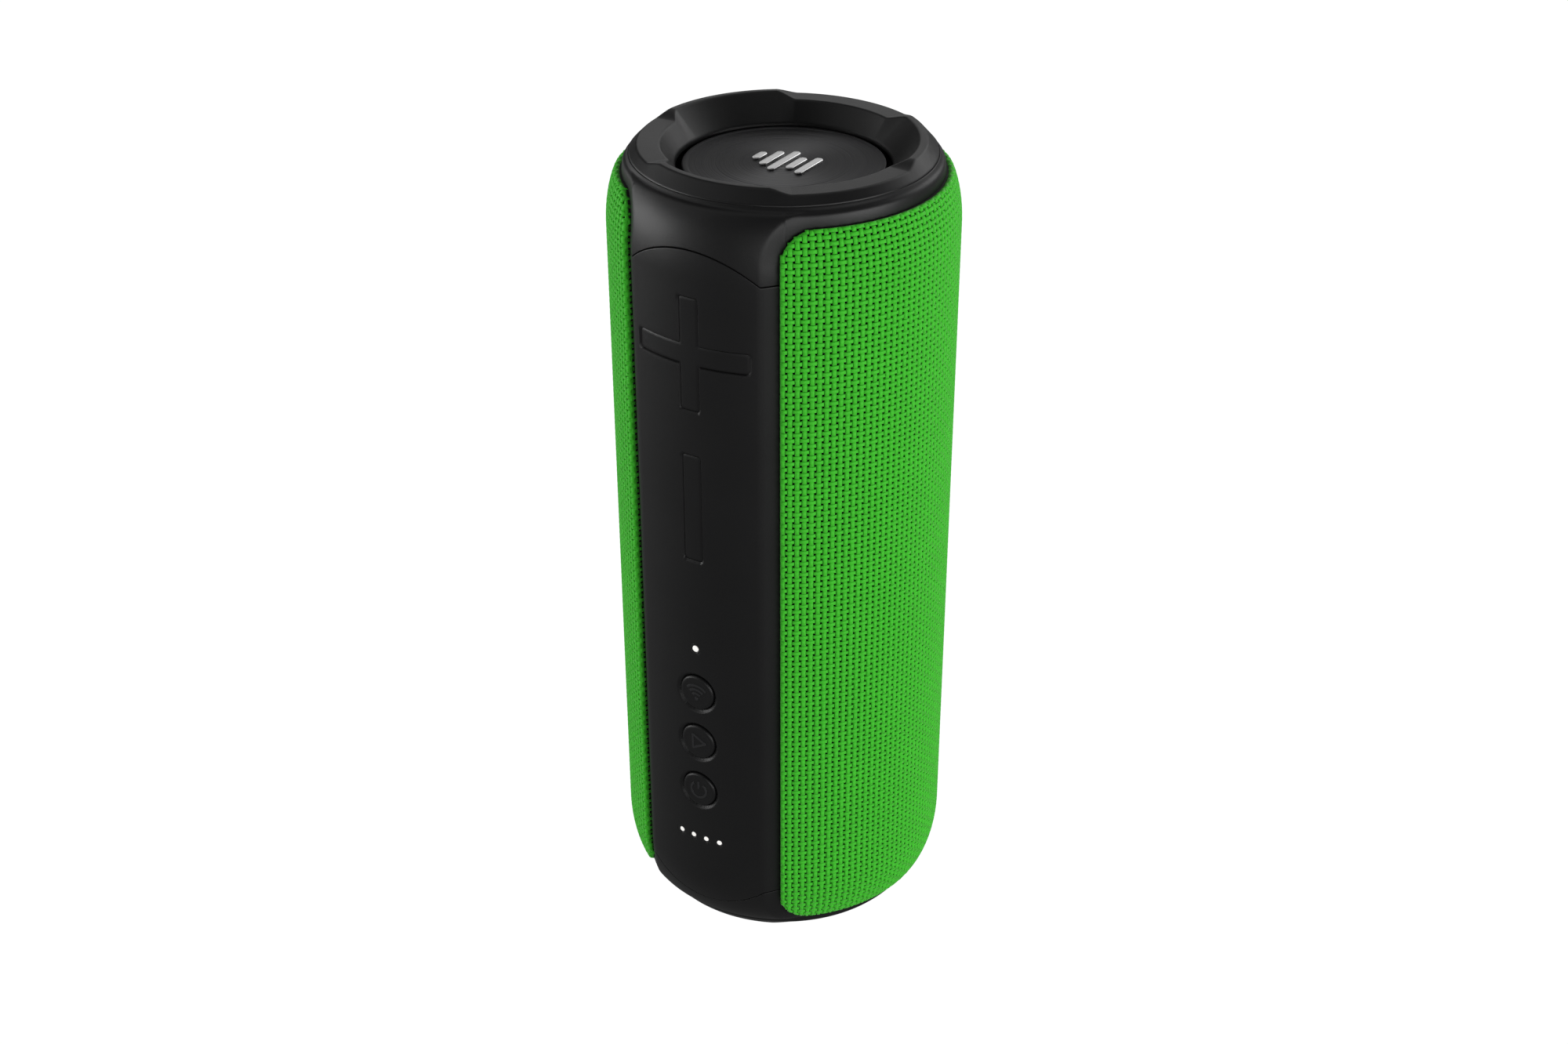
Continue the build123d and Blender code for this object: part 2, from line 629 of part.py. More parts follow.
def port_cover():
    """Rubber flap flush with the rear panel, with a sealing rib inside and a lift at its free edge."""
    w, h = PORT_HALF_X - 0.2, PORT_HALF_Z - 0.2
    skin = round_box_y(2 * w, 2 * h, 2.8, 30, 42, z=PORT_Z) & (rod(R, 0, H) - rod(R - COVER, 0, H))
    rib_w, rib_h = w - 2.4, h - 2.4
    rib = round_box_y(2 * rib_w, 2 * rib_h, 1.4, 35.0, 42, z=PORT_Z)
    rib -= round_box_y(2 * rib_w - 2.4, 2 * rib_h - 2.4, 0.8, 34, 43, z=PORT_Z)
    return skin + (rib & rod(R - COVER + 0.1, 0, H))


# ---------------------------------------------------------------- all nodes
def all_parts():
    """Every node by name."""
    top_chassis, disc, surround, clamp = chassis(), radiator_disc(), radiator_surround(), clamp_ring()
    rim, screws, ring_seal = rim_ring(), clamp_screws(), seal()
    battery_pipes = [light_pipe(BATTERY_LIGHT_R, x, BATTERY_LIGHT_Z).solid() for x in BATTERY_LIGHT_X]
    nodes = {
        "top_end_cap": end_cap(), "bottom_end_cap": bottom_cap(),
        "control_panel": control_panel(), "rear_panel": rear_panel(),
        "left_fabric": fabric(-1), "right_fabric": fabric(1),
        "left_grille_core": grille_core(-1), "right_grille_core": grille_core(1),
        "top_rim_ring": rim, "bottom_rim_ring": flipped(rim),
        "volume_up_key": key(plus_prism(0, -42, -34), plus_prism(FLANGE, -42, -34), KEY_PLUS_Z, 2.0),
        "volume_down_key": key(minus_prism(0, -42, -34), minus_prism(FLANGE, -42, -34), KEY_MINUS_Z, 2.0),
        "pairing_light_pipe": light_pipe(PAIRING_R, 0, PAIRING_Z),
        "battery_light_pipes": Compound(children=battery_pipes),
        "key_board": key_board(), "tact_switches": tact_switches(), "indicator_lamps": indicator_lamps(),
        "enclosure": enclosure(),
        "top_chassis": top_chassis, "bottom_chassis": flipped(top_chassis),
        "top_radiator_disc": disc, "bottom_radiator_disc": flipped(disc),
        "top_radiator_surround": surround, "bottom_radiator_surround": flipped(surround),
        "top_clamp_ring": clamp, "bottom_clamp_ring": flipped(clamp),
        "top_clamp_screws": screws, "bottom_clamp_screws": flipped(screws),
        "top_seal": ring_seal, "bottom_seal": flipped(ring_seal),
        "top_emblem": emblem(),
        "driver_screws": driver_screws(),
        "battery_cells": battery_cells(), "battery_tray": battery_tray(),
        "main_board": main_board(), "board_parts": board_parts(), "port_board": port_board(),
        "usb_c_socket": usb_c_socket(), "audio_socket": audio_socket(), "card_socket": card_socket(),
        "port_tray": port_tray(), "port_cover": port_cover(),
    }
    for name, z in ROUND_KEYS.items():
        nodes[name] = round_key(z)
    driver = {"basket": driver_basket(), "magnet": driver_magnet(), "yoke": driver_yoke(),
              "cone": driver_cone(), "surround": driver_surround(), "spider": driver_spider(),
              "gasket": driver_gasket()}
    for name, piece in driver.items():
        nodes["right_driver_" + name] = piece
        nodes["left_driver_" + name] = other_side(piece)
    return nodes


os.makedirs("parts", exist_ok=True)
for name, piece in all_parts().items():
    export_step(piece, "parts/" + name + ".step")
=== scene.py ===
"""The looks of a portable cylindrical speaker: woven side covers over a soft black casing, a control spine
with keys and lights, crenellated rim rings, and turned radiator discs at both ends."""
import json
from math import atan2, cos, degrees, pi, radians, sin, sqrt

import bmesh
import bpy
import numpy as np
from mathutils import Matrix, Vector


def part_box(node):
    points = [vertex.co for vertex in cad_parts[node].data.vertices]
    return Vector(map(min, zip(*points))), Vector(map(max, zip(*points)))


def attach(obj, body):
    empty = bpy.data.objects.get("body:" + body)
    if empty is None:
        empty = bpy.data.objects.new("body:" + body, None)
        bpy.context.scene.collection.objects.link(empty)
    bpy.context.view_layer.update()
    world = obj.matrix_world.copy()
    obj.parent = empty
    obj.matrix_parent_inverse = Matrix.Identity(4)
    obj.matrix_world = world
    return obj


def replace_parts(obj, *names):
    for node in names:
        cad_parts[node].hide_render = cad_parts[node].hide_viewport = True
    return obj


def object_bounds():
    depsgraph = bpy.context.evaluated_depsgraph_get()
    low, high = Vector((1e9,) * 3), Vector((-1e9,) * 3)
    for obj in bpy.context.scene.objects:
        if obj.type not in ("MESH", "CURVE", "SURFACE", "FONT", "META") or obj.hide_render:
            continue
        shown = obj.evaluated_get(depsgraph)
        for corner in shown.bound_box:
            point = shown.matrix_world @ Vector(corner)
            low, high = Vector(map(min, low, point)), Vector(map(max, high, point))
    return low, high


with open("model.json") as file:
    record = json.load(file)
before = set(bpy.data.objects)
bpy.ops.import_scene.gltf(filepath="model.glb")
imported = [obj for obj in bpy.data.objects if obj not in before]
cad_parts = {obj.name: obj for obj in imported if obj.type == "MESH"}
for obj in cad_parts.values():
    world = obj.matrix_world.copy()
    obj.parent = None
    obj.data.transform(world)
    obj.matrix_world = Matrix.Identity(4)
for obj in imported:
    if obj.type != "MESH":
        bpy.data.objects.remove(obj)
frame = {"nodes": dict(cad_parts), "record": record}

CAD_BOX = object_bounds()
MM = 0.001

# ---------------------------------------------------------------- sizes, in millimetres
# Azimuths are in degrees from the control spine (-Y), positive towards +X. Heights are from mid-height.
MID = (CAD_BOX[0].z + CAD_BOX[1].z) / 2 / MM
R = -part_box("control_panel")[0].y / MM
ARC = R * pi / 180                        # length of one degree round the side
STRAIGHT, SHOULDER_R, SHOULDER_H = 77.45, 6.98, 16.17
GROOVE_R = 33.66                          # parting line between shoulder and rim ring
CREASE_AZ, WINDOW_AZ = 24.0, 30.0
BAND_W = (WINDOW_AZ - CREASE_AZ) * ARC    # bevelled band between crease and fabric
BAND_DROP = 1.75
CORNER = 8.0                              # corner radius of a fabric window
SEAM_R, SEAM_TOP, SEAM_BOTTOM = 24.0, 83.4, -86.9
BAND_TOP, BAND_BOTTOM = 77.4, -80.9
SEAM_HALF_GAP = 0.11
EDGE_ROUND = 0.15                         # rounding of the moulded edges
HOLE_ROUND = 0.38                         # rounding round the openings for the keys
WALL = 2.4

RIM_TURN = 4.2                            # half width of a ramp of the rim ring, in degrees

KEYS = {"wireless_key": -26.2, "play_key": -40.0, "power_key": -53.8}
PLUS_Z, MINUS_Z, ARM, PLUS_W, LONG = 59.7, 22.5, 4.6, 27.2, 26.2
ROUND_R, DISH_R, DISH_DEPTH, KEY_GAP = 4.45, 5.4, 0.36, 0.13
FLAT_GAP, KEY_SUNK = 0.08, 0.28
PAIRING_Z, BATTERY_Z = -14.1, -67.85
BATTERY_X = (-5.28, -1.76, 1.76, 5.28)
PAIRING_R, BATTERY_R, LIGHT_GAP = 0.80, 0.62, 0.22
SYMBOL_W, SYMBOL_H = 0.62, 0.11
PORT_Z, PORT_HALF_X, PORT_HALF_Z, PORT_CORNER = -53.0, 11.5, 19.0, 3.0

WEFT_PITCH, WARP_PITCH = 1.379, 1.583     # spacing of the rows and of the columns of yarn
WEFT_W, WARP_W, YARN_T, YARN_LIFT = 0.90, 1.04, 0.50, 0.25
TUCK_R, TUCK_DEEP = 0.7, 0.9              # turned-down edge of a cover: rounding, then straight drop
YARN_SIDES, YARN_STEPS = 6, 3
HEM_R, HEM_DEPTH, HEM_INSET = 0.42, 0.98, 0.36
COLLAR = 0.66                             # how far a light's collar reaches past the lens

# Softboxes: azimuth, elevation and power in watts.
LIGHTS = ((-85, 30, 1.2), (-85, 5, 1.6), (-60, 5, 4.2), (-30, 8, 0.5), (-42, 48, 0.9), (31, 6, 1.9),
          (60, 6, 2.8), (90, 6, 5.4), (150, 22, 1.6), (170, 35, 2.8), (211, 25, 1.1), (31, 88, 0.8))


# ---------------------------------------------------------------- node trees
class Wire:
    """A value in a node tree, which can be added, multiplied and compared like a number."""

    def __init__(self, tree, socket):
        self.tree, self.socket = tree, socket

    def math(self, operation, *others):
        """The result of a Math node on this value and the others."""
        node = self.tree.nodes.new("ShaderNodeMath")
        node.operation = operation
        for value, socket in zip((self,) + others, node.inputs):
            join(self.tree, value, socket)
        return Wire(self.tree, node.outputs[0])

    def __add__(self, other):
        return self.math("ADD", other)

    def __sub__(self, other):
        return self.math("SUBTRACT", other)

    def __rsub__(self, other):
        return (self * -1.0) + other

    def __mul__(self, other):
        return self.math("MULTIPLY", other)

    def __truediv__(self, other):
        return self.math("DIVIDE", other)

    __radd__, __rmul__ = __add__, __mul__

    def clamped(self, low, high):
        """This value, held between two limits."""
        return self.math("MAXIMUM", low).math("MINIMUM", high)


def join(tree, value, socket):
    """Links a wire or a socket to an input, or sets a plain value on it."""
    if isinstance(value, Wire):
        tree.links.new(value.socket, socket)
    elif isinstance(value, bpy.types.NodeSocket):
        tree.links.new(value, socket)
    else:
        socket.default_value = value


def node(tree, kind, inputs=(), **settings):
    """A node with its settings and its inputs by name or number."""
    new = tree.nodes.new(kind)
    for name, value in settings.items():
        setattr(new, name, value)
    for name, value in dict(inputs).items():
        join(tree, value, new.inputs[name])
    return new


# ---------------------------------------------------------------- materials
def shader(name, colour, roughness, **sockets):
    """A material with one Principled shader; its plain values are set on the shader's own sockets."""
    material = bpy.data.materials.new(name)
    material.use_nodes = True
    tree = material.node_tree
    surface = tree.nodes["Principled BSDF"]
    surface.inputs["Base Color"].default_value = (*colour, 1)
    surface.inputs["Roughness"].default_value = roughness
    for key, value in sockets.items():
        surface.inputs[key.replace("_", " ")].default_value = value
    place = node(tree, "ShaderNodeTexCoord").outputs["Object"]
    return material, tree, surface, place


def noise(tree, place, scale, detail=2.0, **more):
    """Noise on a position, as a wire from 0 to 1."""
    inputs = {"Vector": place, "Scale": scale, "Detail": detail}
    return Wire(tree, node(tree, "ShaderNodeTexNoise", inputs, **more).outputs["Fac"])


def tinted(tree, surface, factor, dark, light):
    """Base colour between two colours."""
    ramp = node(tree, "ShaderNodeMix", {"Factor": factor}, data_type="RGBA")
    ramp.inputs["A"].default_value = (*dark, 1)
    ramp.inputs["B"].default_value = (*light, 1)
    tree.links.new(ramp.outputs["Result"], surface.inputs["Base Color"])


def bumped(tree, surface, height, distance, strength=1.0):
    """Bump from a height wire, with its depth in metres."""
    bump = node(tree, "ShaderNodeBump", {"Height": height, "Distance": distance, "Strength": strength})
    tree.links.new(bump.outputs["Normal"], surface.inputs["Normal"])


def grained_plastic(name, dark, light, roughness, grain=7800.0, depth=0.000022):
    """Moulded plastic with an even spark-eroded grain, faint clouds of tone and uneven sheen."""
    material, tree, surface, place = shader(name, light, roughness, Specular_IOR_Level=0.38)
    fine = noise(tree, place, grain, 3.0)
    coarse = noise(tree, place, grain / 3.1, 2.0)
    clouds = noise(tree, place, 55.0, 4.0)
    tinted(tree, surface, clouds * 0.6 + fine * 0.4, dark, light)
    join(tree, clouds * 0.10 + fine * 0.08 + (roughness - 0.09), surface.inputs["Roughness"])
    bumped(tree, surface, fine * 0.6 + coarse * 0.4, depth)
    return material


def woven_yarn(name, dark, light):
    """Twisted filament yarn: fine strands along each yarn, with uneven dye from yarn to yarn."""
    material, tree, surface, place = shader(name, light, 0.62, Sheen_Weight=0.25, Sheen_Roughness=0.45)
    surface.inputs["Sheen Tint"].default_value = (0.75, 1.0, 0.6, 1)
    surface.inputs["Specular IOR Level"].default_value = 0.28
    across = node(tree, "ShaderNodeSeparateXYZ", {0: node(tree, "ShaderNodeUVMap", uv_map="yarn").outputs[0]})
    u, v = Wire(tree, across.outputs[0]), Wire(tree, across.outputs[1])
    strands = ((v * 16.0 + u * 0.5) * (2 * pi)).math("SINE") * 0.5 + 0.5
    fuzz = noise(tree, place, 2600.0, 4.0)
    dye = noise(tree, place, 120.0, 2.0)
    tone = strands * 0.35 + fuzz * 0.25 + dye * 0.4
    tinted(tree, surface, tone, dark, light)
    bumped(tree, surface, strands * 0.7 + fuzz * 0.3, 0.00002)
    return material


def turned_face(name, tone, roughness):
    """Satin face with the fine uneven rings that a cutting tool leaves, all about the body's axis."""
    material, tree, surface, place = shader(name, tone, roughness, Metallic=0.75, Anisotropic=0.75)
    split = node(tree, "ShaderNodeSeparateXYZ", {0: place})
    x, y = Wire(tree, split.outputs[0]), Wire(tree, split.outputs[1])
    radius = (x * x + y * y).math("SQRT")
    line = node(tree, "ShaderNodeCombineXYZ", {0: radius})
    fine = noise(tree, line.outputs[0], 3400.0, 3.0)
    broad = noise(tree, line.outputs[0], 620.0, 2.0)
    rings = fine * 0.45 + broad * 0.55
    tinted(tree, surface, rings, tuple(c * 0.55 for c in tone), tuple(c * 1.5 for c in tone))
    join(tree, rings * 0.22 + (roughness - 0.1), surface.inputs["Roughness"])
    bumped(tree, surface, rings, 0.00003)
    tangent = node(tree, "ShaderNodeTangent", direction_type="RADIAL", axis="Z")
    tree.links.new(tangent.outputs[0], surface.inputs["Tangent"])
    return material


def brushed_metal(name, tone, roughness):
    """Metal with fine brush lines along X."""
    material, tree, surface, place = shader(name, tone, roughness, Metallic=1.0)
    stretch = node(tree, "ShaderNodeMapping", {"Vector": place, "Scale": (120.0, 4200.0, 1200.0)})
    lines = noise(tree, stretch.outputs[0], 1.0, 3.0)
    tinted(tree, surface, lines, tuple(c * 0.8 for c in tone), tone)
    join(tree, lines * 0.2 + (roughness - 0.1), surface.inputs["Roughness"])
    bumped(tree, surface, lines, 0.00001)
    return material


def glowing_lens(name):
    """Milky light pipe, lit from behind, brighter in the middle of its grain."""
    material, tree, surface, place = shader(name, (0.85, 0.85, 0.82), 0.3, Coat_Weight=0.4)
    haze = noise(tree, place, 900.0, 2.0)
    tinted(tree, surface, haze, (0.80, 0.79, 0.76), (0.95, 0.94, 0.91))
    surface.inputs["Emission Color"].default_value = (1.0, 0.98, 0.95, 1)
    surface.inputs["Emission Strength"].default_value = 0.55
    return material


def mottled(name, dark, light, roughness, scale=400.0, **sockets):
    """Plain finish of a hidden piece: two close tones, a little bump and uneven gloss."""
    material, tree, surface, place = shader(name, light, roughness, **sockets)
    clouds = noise(tree, place, scale, 4.0)
    tinted(tree, surface, clouds, dark, light)
    join(tree, clouds * 0.2 + (roughness - 0.1), surface.inputs["Roughness"])
    bumped(tree, surface, clouds, 0.00003)
    return material


FINISH = {
    "soft_black": grained_plastic("soft black casing", (0.0050, 0.0050, 0.0052), (0.0085, 0.0085, 0.0090),
                                  0.42),
    "key_black": grained_plastic("key silicone", (0.0050, 0.0050, 0.0052), (0.0085, 0.0085, 0.0090),
                                 0.42, 7000.0, 0.00002),
    "green_weave": woven_yarn("green yarn", (0.050, 0.60, 0.020), (0.078, 0.80, 0.034)),
    "core_black": mottled("grille core", (0.004, 0.006, 0.004), (0.010, 0.014, 0.009), 0.8),
    "disc_black": turned_face("turned disc", (0.045, 0.045, 0.047), 0.42),
    "emblem_silver": brushed_metal("emblem metal", (0.82, 0.82, 0.82), 0.32),
    "rubber_black": mottled("rubber", (0.008, 0.008, 0.008), (0.016, 0.016, 0.017), 0.7, 3000.0),
    "light_clear": glowing_lens("light pipe"),
    "grey_plastic": grained_plastic("inner grey plastic", (0.014, 0.014, 0.015), (0.028, 0.028, 0.030), 0.6),
    "steel": brushed_metal("zinc-plated steel", (0.56, 0.56, 0.58), 0.4),
    "magnet_grey": mottled("sintered magnet", (0.05, 0.05, 0.05), (0.10, 0.10, 0.10), 0.7),
    "paper_cone": mottled("coated paper", (0.02, 0.02, 0.02), (0.05, 0.05, 0.05), 0.85, 1500.0),
    "spider_cloth": mottled("treated cotton", (0.35, 0.22, 0.08), (0.55, 0.40, 0.20), 0.9, 2500.0),
    "cell_wrap": mottled("cell wrap", (0.04, 0.12, 0.30), (0.08, 0.20, 0.45), 0.3, 200.0),
    "board_green": mottled("solder mask", (0.01, 0.09, 0.04), (0.02, 0.16, 0.08), 0.35, 1200.0),
    "chip_black": mottled("moulded chips", (0.012, 0.012, 0.012), (0.03, 0.03, 0.03), 0.5, 2500.0),
    "gasket_foam": mottled("gasket foam", (0.015, 0.015, 0.015), (0.035, 0.035, 0.035), 0.95, 4000.0),
}


def dress_cad_nodes():
    """Every CAD node takes the finish of its slot in the record."""
    for part in frame["record"]["subparts"]:
        mesh = frame["nodes"][part["node"]].data
        mesh.materials.clear()
        mesh.materials.append(FINISH[part["material_slot"]])


# ---------------------------------------------------------------- pieces
def add_piece(name, points, faces, finish, body="housing", smooth_angle=35.0, shift_done=False):
    """A mesh piece from points in millimetres, riding on a body, with the finish of a slot."""
    mesh = bpy.data.meshes.new(name)
    mesh.from_pydata([tuple(p * MM for p in point) for point in points], [], faces)
    mesh.validate()
    shell = bmesh.new()
    shell.from_mesh(mesh)
    bmesh.ops.remove_doubles(shell, verts=shell.verts, dist=0.004 * MM)
    bmesh.ops.dissolve_degenerate(shell, edges=shell.edges, dist=0.001 * MM)
    loose = [v for v in shell.verts if not v.link_faces]
    bmesh.ops.delete(shell, geom=loose, context="VERTS")
    shell.to_mesh(mesh)
    shell.free()
    mesh.shade_smooth()
    mesh.set_sharp_from_angle(angle=radians(smooth_angle))
    piece = bpy.data.objects.new(name, mesh)
    bpy.context.scene.collection.objects.link(piece)
    mesh.materials.append(FINISH[finish])
    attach(piece, body)
    return piece


def grid_faces(rows, columns, wrap_rows=False, wrap_columns=False):
    """Quads of a grid whose points are stored row by row."""
    faces = []
    for i in range(rows if wrap_rows else rows - 1):
        for j in range(columns if wrap_columns else columns - 1):
            i2, j2 = (i + 1) % rows, (j + 1) % columns
            faces.append((i * columns + j, i * columns + j2, i2 * columns + j2, i2 * columns + j))
    return faces


def points_of(x, y, z):
    """Rows of points from three arrays."""
    return np.stack([x, y, z], axis=-1).reshape(-1, 3).tolist()


# ---------------------------------------------------------------- form of the body
PHI = np.linspace(0, pi / 2, 600)
_step = np.hypot(SHOULDER_R * np.sin(PHI), SHOULDER_H * np.cos(PHI))
SHOULDER_ARC = np.concatenate([[0], np.cumsum((_step[1:] + _step[:-1]) / 2 * np.diff(PHI))])


def along_side(height):
    """Distance along the side, from mid-height, of a height."""
    over = np.clip((np.abs(height) - STRAIGHT) / SHOULDER_H, 0, 1)
    curved = np.interp(np.arcsin(over), PHI, SHOULDER_ARC)
    return np.sign(height) * (np.minimum(np.abs(height), STRAIGHT) + curved)


def on_body(az, q, out=0.0):
    """Point at an azimuth and a distance q along the side, moved out along the surface normal."""
    az, q, out = np.broadcast_arrays(np.asarray(az, float), np.asarray(q, float), np.asarray(out, float))
    phi = np.interp(np.abs(q) - STRAIGHT, SHOULDER_ARC, PHI)
    phi = np.where(np.abs(q) > STRAIGHT, phi, 0)
    r = R - SHOULDER_R + SHOULDER_R * np.cos(phi)
    z = np.sign(q) * (np.minimum(np.abs(q), STRAIGHT) + SHOULDER_H * np.sin(phi))
    nr, nz = np.cos(phi) / SHOULDER_R, np.sin(phi) / SHOULDER_H
    size = np.hypot(nr, nz)
    r = r + out * nr / size
    z = z + out * np.sign(q) * nz / size
    t = np.radians(az)
    return r * np.sin(t), -r * np.cos(t), MID + z


WINDOW_TOP, WINDOW_BOTTOM = float(along_side(89.3)), float(along_side(-90.7))
WINDOW_Q = (WINDOW_TOP + WINDOW_BOTTOM) / 2
WINDOW_HALF_Q = (WINDOW_TOP - WINDOW_BOTTOM) / 2
WINDOW_HALF_A = (90 - WINDOW_AZ) * ARC
GROOVE_IN = (GROOVE_R + 0.06 - R + SHOULDER_R) / SHOULDER_R
GROOVE_Q = float(along_side(STRAIGHT + SHOULDER_H * sqrt(1 - GROOVE_IN ** 2)))


def window_distance(az, q):
    """Distance outside the edge of the nearer fabric window, along the skin; negative inside."""
    a = np.abs(np.abs(az) - 90) * ARC - (WINDOW_HALF_A - CORNER)
    h = np.abs(q - WINDOW_Q) - (WINDOW_HALF_Q - CORNER)
    return np.hypot(np.maximum(a, 0), np.maximum(h, 0)) + np.minimum(np.maximum(a, h), 0) - CORNER


def band_depth(az, q):
    """Depth of the bevelled band round the windows, with a softly rounded crease."""
    into = BAND_W - window_distance(az, q)
    bevel = BAND_DROP / BAND_W * 0.5 * (into + np.sqrt(into ** 2 + 0.25 ** 2))
    foot = 1 - 0.45 * np.clip((-q - 80) / 9, 0, 1)
    return np.minimum(bevel, BAND_DROP + 0.1) * foot


def rounded_edge(distance, radius=EDGE_ROUND):
    """Drop of a surface near its moulded edge."""
    near = np.clip(radius - distance, 0, radius)
    return radius - np.sqrt(radius ** 2 - near ** 2)


def seam_q(az, top):
    """Distance along the side of the arched seam at an azimuth near a spine."""
    off = np.minimum(np.abs(az), 180 - np.abs(az))
    x = R * np.sin(np.radians(off))
    arch = np.sqrt(np.maximum(SEAM_R ** 2 - x ** 2, 0))
    if top:
        height = np.maximum(SEAM_TOP - SEAM_R + arch, BAND_TOP)
    else:
        height = np.minimum(SEAM_BOTTOM + SEAM_R - arch, BAND_BOTTOM)
    return along_side(height)


def end_cap(top):
    """Shoulder ring with the ends of both spines, closed on its inside."""
    sign = 1 if top else -1
    az = np.arange(-180, 180, 0.6)
    off = np.minimum(np.abs(az), 180 - np.abs(az))
    inside = (off - WINDOW_AZ) * ARC
    edge = WINDOW_TOP if top else -WINDOW_BOTTOM
    u = np.clip(inside, 0, CORNER)
    outline = edge - CORNER + np.sqrt(CORNER ** 2 - (CORNER - u) ** 2) - 1.3
    seam = sign * seam_q(az, top) + SEAM_HALF_GAP
    low = np.where(inside > 0.9, np.maximum(outline, seam), seam)
    near = np.array([0, 0.03, 0.08, 0.14, EDGE_ROUND])
    far = GROOVE_Q - near[::-1]
    middle = np.linspace(0, 1, 42)[1:-1]
    rows, drops = [low], [np.full_like(az, WALL)]
    for d in near:
        rows.append(low + d)
        drops.append(rounded_edge(d) + 0 * az)
    for t in middle:
        rows.append((low + near[-1]) * (1 - t) + far[0] * t)
        drops.append(0 * az)
    for d in near[::-1]:
        rows.append(GROOVE_Q - d + 0 * az)
        drops.append(rounded_edge(d) + 0 * az)
    rows.append(GROOVE_Q + 0 * az)
    drops.append(np.full_like(az, WALL))
    q, drop = np.array(rows), np.array(drops)
    gutter = 0.42 * np.exp(-((GROOVE_Q - q - 0.95) / 0.75) ** 2)
    skin = (band_depth(az, sign * q) + gutter) * (drop < WALL)
    points = points_of(*on_body(az[None, :], sign * q, -(drop + skin)))
    faces = grid_faces(*q.shape, wrap_rows=True, wrap_columns=True)
    if top:
        faces = [f[::-1] for f in faces]
    name = "top_end_cap" if top else "bottom_end_cap"
    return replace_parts(add_piece(name + "_skin", points, [f[::-1] for f in faces], "soft_black"), name)


# ---------------------------------------------------------------- trimmed panels
def rounded_box(x, z, half_x, half_z, corner):
    """Signed distance to a rounded rectangle."""
    a, b = np.abs(x) - half_x + corner, np.abs(z) - half_z + corner
    return np.hypot(np.maximum(a, 0), np.maximum(b, 0)) + np.minimum(np.maximum(a, b), 0) - corner


def plus_shape(x, z, grow=0.0):
    """Signed distance to the plus key's outline."""
    across = rounded_box(x, z - PLUS_Z, PLUS_W / 2 + grow, ARM / 2 + grow, 0.6)
    upright = rounded_box(x, z - PLUS_Z, ARM / 2 + grow, LONG / 2 + grow, 0.6)
    return np.minimum(across, upright)


def minus_shape(x, z, grow=0.0):
    """Signed distance to the lower volume key's outline."""
    return rounded_box(x, z - MINUS_Z, ARM / 2 + grow, LONG / 2 + grow, 0.6)


def control_openings(x, z):
    """Signed distance to everything that is cut out of the control panel."""
    cut = np.minimum(plus_shape(x, z, FLAT_GAP), minus_shape(x, z, FLAT_GAP))
    for at in KEYS.values():
        cut = np.minimum(cut, np.hypot(x, z - at) - ROUND_R - KEY_GAP)
    cut = np.minimum(cut, np.hypot(x, z - PAIRING_Z) - PAIRING_R - LIGHT_GAP)
    for at in BATTERY_X:
        cut = np.minimum(cut, np.hypot(x - at, z - BATTERY_Z) - BATTERY_R - LIGHT_GAP)
    return cut


def port_opening(x, z):
    """Signed distance to the opening of the rear cover."""
    return rounded_box(x, z - PORT_Z, PORT_HALF_X, PORT_HALF_Z, PORT_CORNER)


def spaced(*stretches):
    """Positions over stretches given as (start, end, step), without repeats."""
    rows = [np.linspace(a, b, max(2, round((b - a) / step) + 1)) for a, b, step in stretches]
    return np.unique(np.round(np.concatenate(rows), 5))


def trimmed(x, z, shape, keep_inside):
    """Moves grid points near an outline onto it, and says which points stay."""
    sign = 1 if keep_inside else -1
    h, e = 0.36, 0.01
    for _ in range(2):
        s = shape(x, z)
        gx = (shape(x + e, z) - shape(x - e, z)) / (2 * e)
        gz = (shape(x, z + e) - shape(x, z - e)) / (2 * e)
        size = np.maximum(np.hypot(gx, gz), 0.5)
        near = np.abs(s) < 0.62 * h
        x = np.where(near, x - s * gx / size ** 2, x)
        z = np.where(near, z - s * gz / size ** 2, z)
    return x, z, sign * shape(x, z) < 0.05


def kept_faces(keep):
    """Quads and corner triangles whose points all stay."""
    faces = []
    flat = keep.ravel()
    for face in grid_faces(*keep.shape):
        stay = [k for k in face if flat[k]]
        if len(stay) >= 3:
            faces.append(tuple(stay))
    return faces


def add_skirt(points, faces, inward, depth):
    """Walls down from every open edge, as more points and faces."""
    count = {}
    for face in faces:
        for a, b in zip(face, face[1:] + face[:1]):
            key = (min(a, b), max(a, b))
            count[key] = None if key in count else (a, b)
    lower = {}
    for pair in [p for p in count.values() if p]:
        for k in pair:
            if k not in lower:
                lower[k] = len(points)
                points.append([points[k][i] + inward[i] * depth for i in range(3)])
        a, b = pair
        faces.append((b, a, lower[a], lower[b]))
    return points, faces


